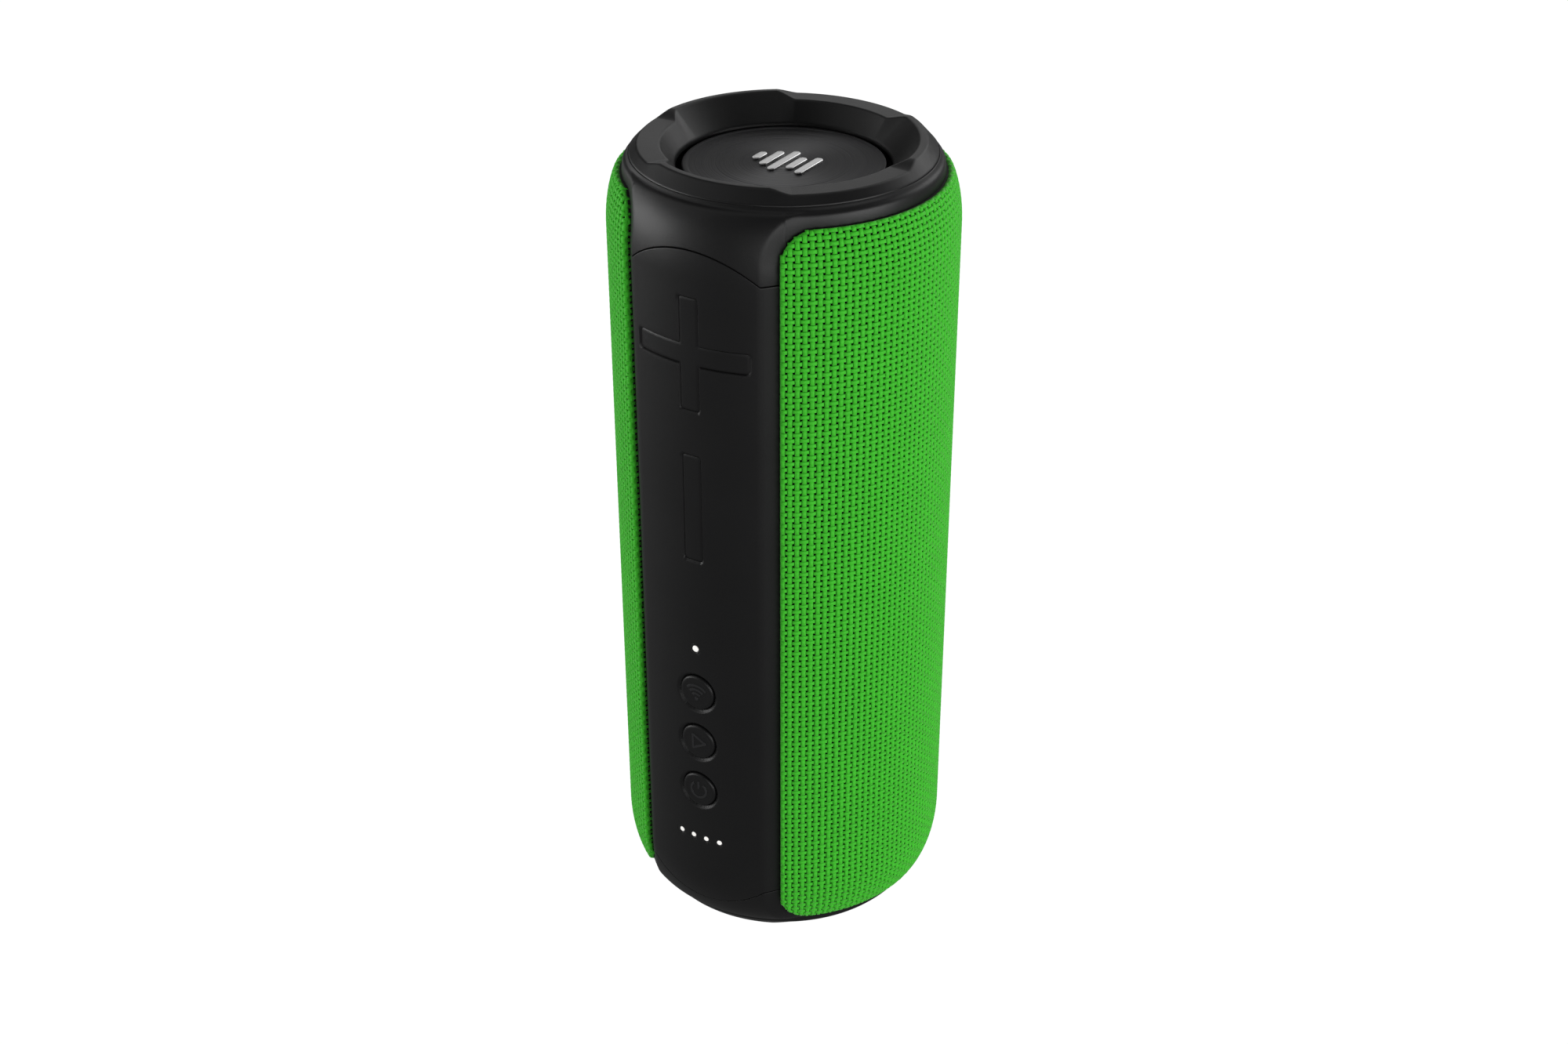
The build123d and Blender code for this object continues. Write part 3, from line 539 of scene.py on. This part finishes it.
def spine_panel(name, rear, shape, columns, rows, moats=()):
    """Curved panel between the seams, trimmed round its openings, with a wall down from every edge."""
    side = 180.0 if rear else 0.0
    x, b = np.meshgrid(columns, rows)
    az = np.degrees(np.arcsin(np.clip(x / R, -1, 1)))
    top, bottom = seam_q(az, True) - SEAM_HALF_GAP, seam_q(az, False) + SEAM_HALF_GAP
    high, low = rows[-1], rows[0]
    z = np.where(b > 74.5, 74.5 + (b - 74.5) / (high - 74.5) * (top - 74.5), b)
    z = np.where(b < -78.0, -78.0 + (b + 78.0) / (low + 78.0) * (bottom + 78.0), z)
    x, z, keep = trimmed(x, z, shape, False)
    az = np.degrees(np.arcsin(np.clip(x / R, -1, 1)))
    seam = rounded_edge(np.maximum(np.minimum(top - z, z - bottom), 0))
    drop = band_depth(az, z) + seam + rounded_edge(np.maximum(shape(x, z), 0), HOLE_ROUND)
    for at in moats:
        into = np.clip((DISH_R + 0.08 - np.hypot(x, z - at)) / 0.55, 0, 1)
        drop = drop + DISH_DEPTH * into * into * (3 - 2 * into)
    points = points_of(*on_body(az + side, z, -drop))
    faces = kept_faces(keep)
    inward = (0.0, -1.0 if rear else 1.0, 0.0)
    points, faces = add_skirt(points, faces, inward, 1.3)
    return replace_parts(add_piece(name + "_skin", points, faces, "soft_black"), name)


def flat_key(name, shape, half_x, centre, half_z):
    """Volume key: a cap nearly flush with the panel, whose sides are straight along its travel."""
    step = 0.3
    columns = np.linspace(-half_x - step, half_x + step, round(2 * half_x / step) + 3)
    rows = np.linspace(centre - half_z - step, centre + half_z + step, round(2 * half_z / step) + 3)
    x, z = np.meshgrid(columns, rows)
    x, z, keep = trimmed(x, z, shape, True)
    drop = rounded_edge(np.maximum(-shape(x, z), 0), 0.12) + KEY_SUNK
    y = -np.sqrt(R ** 2 - np.clip(np.abs(x), 0, R - 1) ** 2) + drop
    points = points_of(x, y, MID + z)
    points, faces = add_skirt(points, kept_faces(keep), (0.0, 1.0, 0.0), 1.6)
    return add_piece(name + "_cap", points, faces, "key_black", name)


def disc_patch(name, profile, at_x, at_z, finish, body, segments=72):
    """Round piece whose rings (radius, outward height) lie on the front of the body."""
    turn = np.linspace(0, 2 * pi, segments, endpoint=False)
    rows = []
    for radius, out in profile:
        x, z = at_x + radius * np.cos(turn), at_z + radius * np.sin(turn)
        rows.append((x, -np.sqrt(R ** 2 - x ** 2) - out, MID + z))
    points = [p for row in rows for p in points_of(*row)]
    faces = grid_faces(len(profile), segments, wrap_columns=True)
    last = (len(profile) - 1) * segments
    faces.append(tuple(range(last, last + segments)))
    return add_piece(name, points, faces, finish, body)


def bead(name, paths, width, height, body, finish="grey_plastic", base=0.04):
    """Raised lines on the front of the body along paths of (x, height) points; a path may be closed."""
    across, up = (-1, -0.78, 0, 0.78, 1), (-0.4, 0.92, 1.0, 0.92, -0.4)
    points, faces = [], []
    for path, closed in paths:
        p = np.array(path, float)
        ahead, behind = np.roll(p, -1, 0), np.roll(p, 1, 0)
        if not closed:
            ahead[-1], behind[0] = p[-1], p[0]
        along = ahead - behind
        along /= np.maximum(np.hypot(*along.T), 1e-9)[:, None]
        start = len(points)
        for (x, z), (tx, tz) in zip(p, along):
            for k, lift in zip(across, up):
                px, pz = x - tz * k * width / 2, z + tx * k * width / 2
                points.append((px, -sqrt(R ** 2 - px ** 2) + base - lift * height, MID + pz))
        side = len(across)
        for a, b, c, d in grid_faces(len(p), side, wrap_rows=closed):
            faces.append((start + a, start + b, start + c, start + d))
        if not closed:
            faces.append(tuple(start + k for k in range(side)))
            end = start + (len(p) - 1) * side
            faces.append(tuple(end + k for k in reversed(range(side))))
    return add_piece(name, points, faces, finish, body, 60.0)


def arc_points(cx, cz, radius, start, end, count=24):
    """Points along an arc, with its angles in degrees."""
    turn = np.radians(np.linspace(start, end, count))
    return [(cx + radius * cos(t), cz + radius * sin(t)) for t in turn]


def along(points, step=0.25):
    """The same polyline with points at even spacing."""
    p = np.array(points, float)
    run = np.concatenate([[0], np.cumsum(np.hypot(*np.diff(p, axis=0).T))])
    at = np.linspace(0, run[-1], max(3, round(run[-1] / step) + 1))
    return list(zip(np.interp(at, run, p[:, 0]), np.interp(at, run, p[:, 1])))


def keys():
    """Key caps with their raised symbols."""
    plus = flat_key("volume_up_key", plus_shape, PLUS_W / 2, PLUS_Z, LONG / 2)
    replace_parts(plus, "volume_up_key")
    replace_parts(flat_key("volume_down_key", minus_shape, ARM / 2, MINUS_Z, LONG / 2), "volume_down_key")
    profile = [(ROUND_R, -1.4), (ROUND_R, -0.5), (ROUND_R - 0.04, -0.32), (ROUND_R - 0.14, -0.16),
               (ROUND_R - 0.34, -0.01), (ROUND_R - 0.6, 0.06), (ROUND_R - 0.9, 0.04), (3.1, -0.02),
               (2.4, -0.05), (1.2, -0.06), (0.3, -0.06)]
    for name, z in KEYS.items():
        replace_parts(disc_patch(name + "_cap", profile, 0, z, "key_black", name), name)
    z = KEYS["play_key"]
    corners = [(-1.25, z + 1.95), (-1.25, z - 1.95), (2.15, z)]
    outline = along(corners + corners[:1])[:-1]
    bead("play_symbol", [(outline, True)], SYMBOL_W, SYMBOL_H, "play_key")
    z = KEYS["power_key"]
    ring = arc_points(0, z - 0.1, 2.05, 125, 415, 40)
    stroke = along([(0, z + 0.3), (0, z + 2.4)])
    bead("power_symbol", [(ring, False), (stroke, False)], SYMBOL_W, SYMBOL_H, "power_key")
    z = KEYS["wireless_key"] - 1.55
    waves = [(arc_points(0, z, radius, 45, 135, 20), False) for radius in (1.35, 2.45, 3.55)]
    waves.append((arc_points(0, z, 0.2, 0, 330, 12), True))
    bead("wireless_symbol", waves, SYMBOL_W, SYMBOL_H, "wireless_key")


def lights():
    """Domed ends of the light pipes, each in a thin black collar that covers the edge of its opening."""
    for group, radius, places in (("pairing_light", PAIRING_R, [(0, PAIRING_Z)]),
                                  ("battery_light", BATTERY_R, [(x, BATTERY_Z) for x in BATTERY_X])):
        for k, (x, z) in enumerate(places):
            dome = [(radius, -2.2), (radius, -0.22), (radius * 0.93, -0.10), (radius * 0.75, -0.03),
                    (radius * 0.45, 0.02), (radius * 0.12, 0.03)]
            piece = disc_patch(f"{group}_{k + 1}", dome, x, z, "light_clear", "housing", 40)
            collar = [(radius + COLLAR, -0.60), (radius + COLLAR - 0.02, -0.03), (radius + 0.55, 0.015),
                      (radius + 0.30, 0.02), (radius + 0.20, -0.02), (radius + 0.05, -0.22),
                      (radius * 0.5, -0.24)]
            disc_patch(f"{group}_collar_{k + 1}", collar, x, z, "soft_black", "housing", 48)
            if k == 0:
                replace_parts(piece, group + ("_pipe" if group == "pairing_light" else "_pipes"))


def panels():
    """Front and rear panels."""
    fine, key_step, wide = 0.2, 0.4, 0.9
    edge_x = R * sin(radians(WINDOW_AZ + 1.2))
    columns = spaced((-edge_x, -15, wide), (-15, -6.2, key_step), (-6.2, 6.2, fine), (6.2, 15, key_step),
                     (15, edge_x, wide))
    ends = [-0.35, -0.2, -0.1, -0.03, 0.0]
    rows = spaced((-88, -72, 1.0), (-72, -60.5, key_step), (-60.5, -19.5, fine), (-19.5, -11, key_step),
                  (-11, 8, 1.0), (8, 37, key_step), (37, 45, 1.0), (45, 74, key_step), (74, 84, 0.8))
    rows = np.unique(np.concatenate([rows, [84 + e for e in ends], [-88 - e for e in ends]]))
    spine_panel("control_panel", False, control_openings, columns, rows, KEYS.values())
    columns = spaced((-edge_x, -13.5, wide), (-13.5, 13.5, key_step), (13.5, edge_x, wide))
    rows = spaced((-88, -74, 1.0), (-74, -32, key_step), (-32, 84, 1.4))
    rows = np.unique(np.concatenate([rows, [84 + e for e in ends], [-88 - e for e in ends]]))
    spine_panel("rear_panel", True, port_opening, columns, rows)


# ---------------------------------------------------------------- rim rings and discs
# Corners of the ring's section as radius, height and rounding. The bottom ring is a little fuller.
RIM_INNER = [(23.7, 90.45, 0.5), (23.5, 89.5, 0.1), (25.0, 89.4, 0.05), (27.6, 92.0, 0.05),
             (30.0, 92.0, 0.05), (30.6, 90.1, 0.05), (33.55, 90.1, 0.05)]
TOP_HIGH = [(33.55, 93.2, 0.3), (31.0, 96.0, 0.4), (29.45, 96.0, 0.4)]
TOP_LOW = [(33.55, 93.2, 0.3), (31.8, 94.9, 0.4), (26.85, 94.9, 0.4)]
BOTTOM_HIGH = [(33.65, 93.6, 0.4), (31.7, 96.0, 0.5), (29.45, 96.0, 0.4)]
BOTTOM_LOW = [(33.65, 93.6, 0.4), (32.5, 94.9, 0.4), (26.85, 94.9, 0.4)]


def rounded_section(corners):
    """Points round a closed section whose corners are rounded; flats keep their own shading."""
    path = []
    count = len(corners)
    for k, (r, z, radius) in enumerate(corners):
        here = np.array((r, z))
        before, after = np.array(corners[k - 1][:2]) - here, np.array(corners[(k + 1) % count][:2]) - here
        long_before, long_after = np.hypot(*before), np.hypot(*after)
        u, v = before / long_before, after / long_after
        reach = min(radius, 0.4 * long_before, 0.4 * long_after)
        path.append(here + u * (reach + 0.05))
        for t in (0.0, 0.25, 0.5, 0.75, 1.0):
            path.append(here + u * reach * (1 - t) ** 2 + v * reach * t * t)
        path.append(here + v * (reach + 0.05))
    return np.array(path)


def rim_ring(top):
    """Closed ring whose section swings between the high and the low profile three times round."""
    az = np.linspace(0, 360, 900, endpoint=False)
    near = np.abs((az + 60) % 120 - 60)
    t = np.clip((30 + RIM_TURN - near) / (2 * RIM_TURN), 0, 1)
    mix = (0.6 * t + 0.4 * t * t * (3 - 2 * t))[None, :, None]
    high = rounded_section((TOP_HIGH if top else BOTTOM_HIGH) + RIM_INNER)[:, None, :]
    low = rounded_section((TOP_LOW if top else BOTTOM_LOW) + RIM_INNER)[:, None, :]
    section = high * mix + low * (1 - mix)
    turn = np.radians(az)[None, :]
    r, z = section[..., 0], section[..., 1]
    sign = 1 if top else -1
    points = points_of(r * np.sin(turn), -r * np.cos(turn), MID + sign * z)
    faces = grid_faces(len(section), len(az), wrap_rows=True, wrap_columns=True)
    if not top:
        faces = [f[::-1] for f in faces]
    name = ("top" if top else "bottom") + "_rim_ring"
    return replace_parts(add_piece(name + "_skin", points, faces, "soft_black", smooth_angle=50), name)


def radiator_disc(top):
    """Turned disc: a raised outer land, a fine step and a very slightly dished face."""
    rings = 150
    draw = np.random.default_rng(11)
    radii = np.concatenate([[22.25, 22.25, 22.2, 22.05, 21.8], np.linspace(21.5, 0.2, rings)])
    heights = np.concatenate([[87.4, 89.85, 90.05, 90.17, 90.2], np.zeros(rings)])
    inner = radii[5:]
    tooling = draw.normal(0, 0.016, rings) * draw.choice((0.15, 0.5, 1.6), rings, p=(0.5, 0.35, 0.15))
    heights[5:] = 90.2 - 0.10 * np.clip((21.3 - inner) / 0.5, 0, 1) + tooling * (inner > 2)
    turn = np.radians(np.linspace(0, 360, 180, endpoint=False))[None, :]
    sign = 1 if top else -1
    r, z = radii[:, None], heights[:, None] + 0 * turn
    points = points_of(r * np.sin(turn), -r * np.cos(turn), MID + sign * z)
    faces = grid_faces(len(radii), 180, wrap_columns=True)
    last = (len(radii) - 1) * 180
    faces.append(tuple(range(last, last + 180)))
    faces.append(tuple(reversed(range(180))))
    if not top:
        faces = [f[::-1] for f in faces]
    end = "top" if top else "bottom"
    piece = add_piece(end + "_radiator_face", points, faces, "disc_black", end + "_radiator", 60.0)
    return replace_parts(piece, end + "_radiator_disc")


def emblem():
    """Five upright level bars with bevelled edges."""
    heights = (4.6, 9.0, 12.4, 7.4, 10.4)
    turn = np.radians(np.arange(0, 360, 12))
    points, faces = [], []
    layers = [(0.95, 90.1), (0.95, 90.42), (0.86, 90.52), (0.72, 90.56), (0.02, 90.56)]
    for k, tall in enumerate(heights):
        start = len(points)
        for radius, z in layers:
            for t in turn:
                shift = (tall / 2 - 0.95) * (1 if sin(t) >= -1e-9 else -1)
                points.append(((k - 2) * 3.1 + radius * cos(t), radius * sin(t) + shift, MID + z))
        count = len(turn)
        for face in grid_faces(len(layers), count, wrap_columns=True):
            faces.append(tuple(start + n for n in face))
        last = start + (len(layers) - 1) * count
        faces.append(tuple(range(last, last + count)))
    piece = add_piece("emblem_bars", points, faces, "emblem_silver", "top_radiator", 30.0)
    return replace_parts(piece, "top_emblem")


# ---------------------------------------------------------------- woven covers
def shoulder_fit():
    """Coefficients of the shoulder's angle as a cubic in the distance along it."""
    s, a = SHOULDER_ARC[1:], PHI[1:]
    use = s < along_side(91.5) - STRAIGHT
    return np.polyfit(s[use], (a / s)[use], 3)


def weave_tree():
    """Geometry Nodes tree that lays one set of yarns over a window: a grid rolled into flattened tubes, waved
    over and under, laid on the body's form and tucked in at the window's edge. Lengths are in millimetres."""
    tree = bpy.data.node_groups.new("woven yarns", "GeometryNodeTree")
    face = tree.interface
    face.new_socket("Geometry", in_out="OUTPUT", socket_type="NodeSocketGeometry")
    names = ("First Yarn", "Yarn Count", "All Yarns", "Crossings", "Pitch", "Crossing Pitch", "Yarn Width",
             "Yarn Thickness", "Lift", "Half Along", "Half Across", "Warp", "Facing")
    for name in names:
        face.new_socket(name, in_out="INPUT", socket_type="NodeSocketFloat")
    face.new_socket("Material", in_out="INPUT", socket_type="NodeSocketMaterial")
    given = tree.nodes.new("NodeGroupInput")
    value = {name: Wire(tree, given.outputs[name]) for name in names}
    round_it = YARN_SIDES + 1
    wide = value["Yarn Count"] * float(round_it)
    tall = value["Crossings"] * float(YARN_STEPS) + 1.0
    grid = node(tree, "GeometryNodeMeshGrid", {"Size X": wide - 1.0, "Size Y": tall - 1.0, "Vertices X": wide,
                                               "Vertices Y": tall})
    place = node(tree, "ShaderNodeSeparateXYZ", {0: node(tree, "GeometryNodeInputPosition").outputs[0]})
    x = Wire(tree, place.outputs[0]) + (wide - 1.0) * 0.5
    y = Wire(tree, place.outputs[1]) + (tall - 1.0) * 0.5
    bridge = x.math("MODULO", float(round_it)).math("GREATER_THAN", YARN_SIDES + 0.1)
    tubes = node(tree, "GeometryNodeDeleteGeometry", {"Geometry": grid.outputs["Mesh"], "Selection": bridge},
                 domain="FACE")
    x, y = (x + 0.25).math("FLOOR"), (y + 0.25).math("FLOOR")
    local = ((x + 0.25) / float(round_it)).math("FLOOR")
    side = x - local * float(round_it)
    yarn = local + value["First Yarn"]
    crossing = ((y + 0.25) / float(YARN_STEPS)).math("FLOOR")
    k = y - crossing * float(YARN_STEPS)
    parity = (crossing + yarn + value["Warp"] + 0.25).math("MODULO", 2.0)
    goes_over = parity.math("LESS_THAN", 1.0)
    from_middle = k - 1.0
    c = crossing - 1.0 + from_middle * (goes_over * 0.24 + 0.34)
    across = (yarn - (value["All Yarns"] - 1.0) * 0.5) * value["Pitch"]
    along0 = (c - (value["Crossings"] - 3.0) * 0.5) * value["Crossing Pitch"]
    over = (across.math("ABSOLUTE") - (value["Half Across"] - CORNER)).math("MAXIMUM", 0.0)
    limit = value["Half Along"] - CORNER + (CORNER ** 2 - over * over).math("MAXIMUM", 0.0).math("SQRT")
    along1 = along0.math("MAXIMUM", limit * -1.0).math("MINIMUM", limit)
    excess = (along0.math("ABSOLUTE") - limit).clamped(0.0, TUCK_DEEP)
    crown = 1.06 - from_middle * from_middle * 0.16
    wave = (goes_over * 2.0 - 1.0) * crown
    turn = side * (2 * pi / YARN_SIDES)
    last = (y - (tall - 1.0)).math("ABSOLUTE").math("LESS_THAN", 0.5)
    closed = 1.0 - y.math("LESS_THAN", 0.5).math("MAXIMUM", last)
    flare = (from_middle * from_middle * 0.1 + 0.96) * (turn.math("SINE") * turn.math("SINE") * 0.5 + 1.0)
    across1 = across + turn.math("COSINE") * value["Yarn Width"] * 0.5 * flare * closed
    swell = turn.math("SINE") * value["Yarn Thickness"] * 0.5 * closed
    warp = value["Warp"]
    a = along1 + (across1 - along1) * warp
    q = across1 + (along1 - across1) * warp
    edge_a = a.math("ABSOLUTE") - (WINDOW_HALF_A - CORNER)
    edge_q = q.math("ABSOLUTE") - (WINDOW_HALF_Q - CORNER)
    far_a, far_q = edge_a.math("MAXIMUM", 0.0), edge_q.math("MAXIMUM", 0.0)
    inside = edge_a.math("MAXIMUM", edge_q).math("MINIMUM", 0.0)
    outside = (far_a * far_a + far_q * far_q).math("SQRT") + inside
    tuck = (1.0 + (outside - CORNER) / TUCK_R).clamped(0.0, 1.0)
    sunk = (1.0 - (1.0 - tuck * tuck).math("MAXIMUM", 0.0).math("SQRT")) * TUCK_R + excess
    out = value["Lift"] * wave + swell - sunk - (value["Lift"] + value["Yarn Thickness"] * 0.5)
    q = q + WINDOW_Q
    beyond = (q.math("ABSOLUTE") - STRAIGHT).math("MAXIMUM", 0.0)
    k3, k2, k1, k0 = (float(v) for v in shoulder_fit())
    phi = beyond * (((beyond * k3 + k2) * beyond + k1) * beyond + k0)
    cos_phi, sin_phi, sign = phi.math("COSINE"), phi.math("SINE"), q.math("SIGN")
    nr, nz = cos_phi / SHOULDER_R, sin_phi / SHOULDER_H
    size = (nr * nr + nz * nz).math("SQRT")
    r = cos_phi * SHOULDER_R + (R - SHOULDER_R) + out * nr / size
    z = q.math("ABSOLUTE").math("MINIMUM", STRAIGHT) + sin_phi * SHOULDER_H + out * nz / size
    t = (a / ARC + value["Facing"] * 90.0) * (pi / 180)
    spot = node(tree, "ShaderNodeCombineXYZ", {0: r * t.math("SINE") * MM, 1: r * t.math("COSINE") * -MM,
                                               2: (z * sign + MID) * MM})
    map_uv = node(tree, "ShaderNodeCombineXYZ", {0: c, 1: side / float(YARN_SIDES)})
    mapped = node(tree, "GeometryNodeStoreNamedAttribute",
                  {"Geometry": tubes.outputs[0], "Name": "yarn", "Value": map_uv.outputs[0]},
                  data_type="FLOAT2", domain="CORNER")
    moved = node(tree, "GeometryNodeSetPosition",
                 {"Geometry": mapped.outputs[0], "Position": spot.outputs[0]})
    merged = node(tree, "GeometryNodeMergeByDistance", {"Geometry": moved.outputs[0], "Distance": 0.01 * MM})
    smooth = node(tree, "GeometryNodeSetShadeSmooth", {"Geometry": merged.outputs[0]})
    real = node(tree, "GeometryNodeRealizeInstances", {"Geometry": smooth.outputs[0]})
    dressed = node(tree, "GeometryNodeSetMaterial",
                   {"Geometry": real.outputs[0], "Material": given.outputs["Material"]})
    end = tree.nodes.new("NodeGroupOutput")
    tree.links.new(dressed.outputs[0], end.inputs[0])
    return tree


def grown(name, tree, inputs):
    """Plain mesh of what a Geometry Nodes tree makes."""
    seed = bpy.data.objects.new(name + " seed", bpy.data.meshes.new(name + " seed"))
    bpy.context.scene.collection.objects.link(seed)
    modifier = seed.modifiers.new("grow", "NODES")
    modifier.node_group = tree
    for item in tree.interface.items_tree:
        if item.in_out == "INPUT" and item.name in inputs:
            modifier[item.identifier] = inputs[item.name]
    shape = seed.evaluated_get(bpy.context.evaluated_depsgraph_get())
    mesh = bpy.data.meshes.new_from_object(shape)
    seed.modifiers.remove(modifier)
    bpy.data.objects.remove(seed)
    piece = bpy.data.objects.new(name, mesh)
    bpy.context.scene.collection.objects.link(piece)
    return piece


def backing(name, facing):
    """Thin dark scrim that the yarns lie on, cut to the window's outline."""
    step = 1.6
    a = np.linspace(-WINDOW_HALF_A, WINDOW_HALF_A, round(2 * WINDOW_HALF_A / step))
    q = np.linspace(-WINDOW_HALF_Q, WINDOW_HALF_Q, round(2 * WINDOW_HALF_Q / step))
    a, q = np.meshgrid(a, q)
    over = np.maximum(np.abs(q) - (WINDOW_HALF_Q - CORNER), 0)
    limit = WINDOW_HALF_A - CORNER + np.sqrt(np.maximum(CORNER ** 2 - over ** 2, 0))
    a = a * limit / WINDOW_HALF_A
    points = points_of(*on_body(a / ARC + 90 * facing, q + WINDOW_Q, -1.22 + 0 * a))
    return add_piece(name, points, grid_faces(*a.shape), "core_black")


def hem(name, facing):
    """Rolled hem under the turned-down ends of the yarns, all round a window."""
    sides = 8
    a, q = WINDOW_HALF_A - HEM_INSET, WINDOW_HALF_Q - HEM_INSET
    bend = CORNER - HEM_INSET
    path = []
    for ca, cq, start in ((a, q, 0), (-a, q, 90), (-a, -q, 180), (a, -q, 270)):
        centre = (ca - bend * (1 if ca > 0 else -1), cq - bend * (1 if cq > 0 else -1))
        path += arc_points(*centre, bend, start, start + 90, 16)
    path = np.array(along(path + path[:1], 0.8)[:-1])
    ahead = np.roll(path, -1, 0) - np.roll(path, 1, 0)
    ahead /= np.hypot(*ahead.T)[:, None]
    turn = np.linspace(0, 2 * pi, sides, endpoint=False)[None, :]
    across = HEM_R * np.cos(turn)
    at_a, at_q = path[:, :1] + ahead[:, 1:] * across, path[:, 1:] - ahead[:, :1] * across
    points = points_of(*on_body(at_a / ARC + 90 * facing, at_q + WINDOW_Q, HEM_R * np.sin(turn) - HEM_DEPTH))
    piece = add_piece(name, points, grid_faces(*at_a.shape, wrap_rows=True, wrap_columns=True), "green_weave",
                      smooth_angle=60)
    piece.data.uv_layers.new(name="yarn")
    return piece


def covers():
    """Both woven covers: four sets of yarn each, on their scrims."""
    tree = weave_tree()
    rows = round(2 * WINDOW_HALF_Q / WEFT_PITCH)
    columns = round(2 * WINDOW_HALF_A / WARP_PITCH)
    weft_pitch, warp_pitch = 2 * WINDOW_HALF_Q / (rows - 0.4), 2 * WINDOW_HALF_A / (columns - 0.4)
    for side, facing in (("left", -1.0), ("right", 1.0)):
        for warp, count in ((0, rows), (1, columns)):
            half = count // 2
            shared = {
                "All Yarns": float(count), "Crossings": float((rows if warp else columns) + 2),
                "Pitch": warp_pitch if warp else weft_pitch,
                "Crossing Pitch": weft_pitch if warp else warp_pitch,
                "Yarn Width": WARP_W if warp else WEFT_W, "Yarn Thickness": YARN_T, "Lift": YARN_LIFT,
                "Half Along": WINDOW_HALF_Q if warp else WINDOW_HALF_A,
                "Half Across": WINDOW_HALF_A if warp else WINDOW_HALF_Q,
                "Warp": float(warp), "Facing": facing, "Material": FINISH["green_weave"]}
            for part, first, number in (("a", 0, half), ("b", half, count - half)):
                name = f"{side}_{'warp' if warp else 'weft'}_yarns_{part}"
                piece = grown(name, tree, {"First Yarn": float(first), "Yarn Count": float(number), **shared})
                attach(piece, "housing")
        hem(side + "_hem", facing)
        scrim = backing(side + "_scrim", facing)
        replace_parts(scrim, side + "_fabric")


# ---------------------------------------------------------------- stage
def area_light(name, azimuth, elevation, distance, size, power, colour=(1, 1, 1)):
    """Soft rectangular light aimed at the middle of the speaker."""
    lamp = bpy.data.lights.new(name, "AREA")
    lamp.shape, lamp.size, lamp.size_y = "RECTANGLE", size[0], size[1]
    lamp.energy, lamp.color = power, colour
    light = bpy.data.objects.new(name, lamp)
    a, e = radians(azimuth), radians(elevation)
    back = Vector((sin(a) * cos(e), -cos(a) * cos(e), sin(e)))
    light.location = Vector((0, 0, MID * MM)) + back * distance
    light.rotation_euler = back.to_track_quat("Z", "Y").to_euler()
    bpy.context.scene.collection.objects.link(light)


def stage():
    """Pale floor, soft lights and the camera."""
    mesh = bpy.data.meshes.new("floor")
    half = 6.0
    corners = [(-half, -half, 0), (half, -half, 0), (half, half, 0), (-half, half, 0)]
    mesh.from_pydata(corners, [], [(0, 1, 2, 3)])
    floor = bpy.data.objects.new("floor", mesh)
    bpy.context.scene.collection.objects.link(floor)
    material, tree, surface, place = shader("pale floor", (0.06, 0.06, 0.06), 0.9)
    surface.inputs["Specular IOR Level"].default_value = 0.0
    surface.inputs["Emission Color"].default_value = (1, 1, 1, 1)
    seen = Wire(tree, node(tree, "ShaderNodeLightPath").outputs["Is Camera Ray"])
    mottle = noise(tree, place, 3.0)
    join(tree, seen * (mottle * 0.02 + 0.85) + 0.15, surface.inputs["Emission Strength"])
    mesh.materials.append(material)
    for azimuth, elevation, power in LIGHTS:
        size = (0.7, min(0.3 + elevation / 60, 0.9))
        area_light(f"softbox {azimuth} {elevation}", azimuth, elevation, 1.2, size, power)
    world = bpy.data.worlds.new("studio")
    world.use_nodes = True
    sky = world.node_tree.nodes["Background"]
    sky.inputs["Color"].default_value = (1, 1, 1, 1)
    seen = Wire(world.node_tree, node(world.node_tree, "ShaderNodeLightPath").outputs["Is Camera Ray"])
    join(world.node_tree, seen * 0.98 + 0.02, sky.inputs["Strength"])
    bpy.context.scene.world = world
    bpy.context.scene.view_settings.view_transform = "Standard"


def camera():
    """Camera above the front, to the right of the control spine."""
    azimuth, elevation, distance = radians(31.2), radians(30.0), 13.245 * R * MM
    back = Vector((sin(azimuth) * cos(elevation), -cos(azimuth) * cos(elevation), sin(elevation)))
    lens = bpy.data.cameras.new("camera")
    lens.lens, lens.sensor_width = 50.0, 36.0
    lens.clip_start, lens.clip_end = 0.01, 50.0
    eye = bpy.data.objects.new("camera", lens)
    eye.location = Vector((0, 0, MID * MM)) + back * distance
    eye.rotation_euler = back.to_track_quat("Z", "Y").to_euler()
    bpy.context.scene.collection.objects.link(eye)
    bpy.context.scene.camera = eye


dress_cad_nodes()
end_cap(True)
end_cap(False)
panels()
keys()
lights()
for is_top in (True, False):
    rim_ring(is_top)
    radiator_disc(is_top)
emblem()
covers()
stage()
camera()
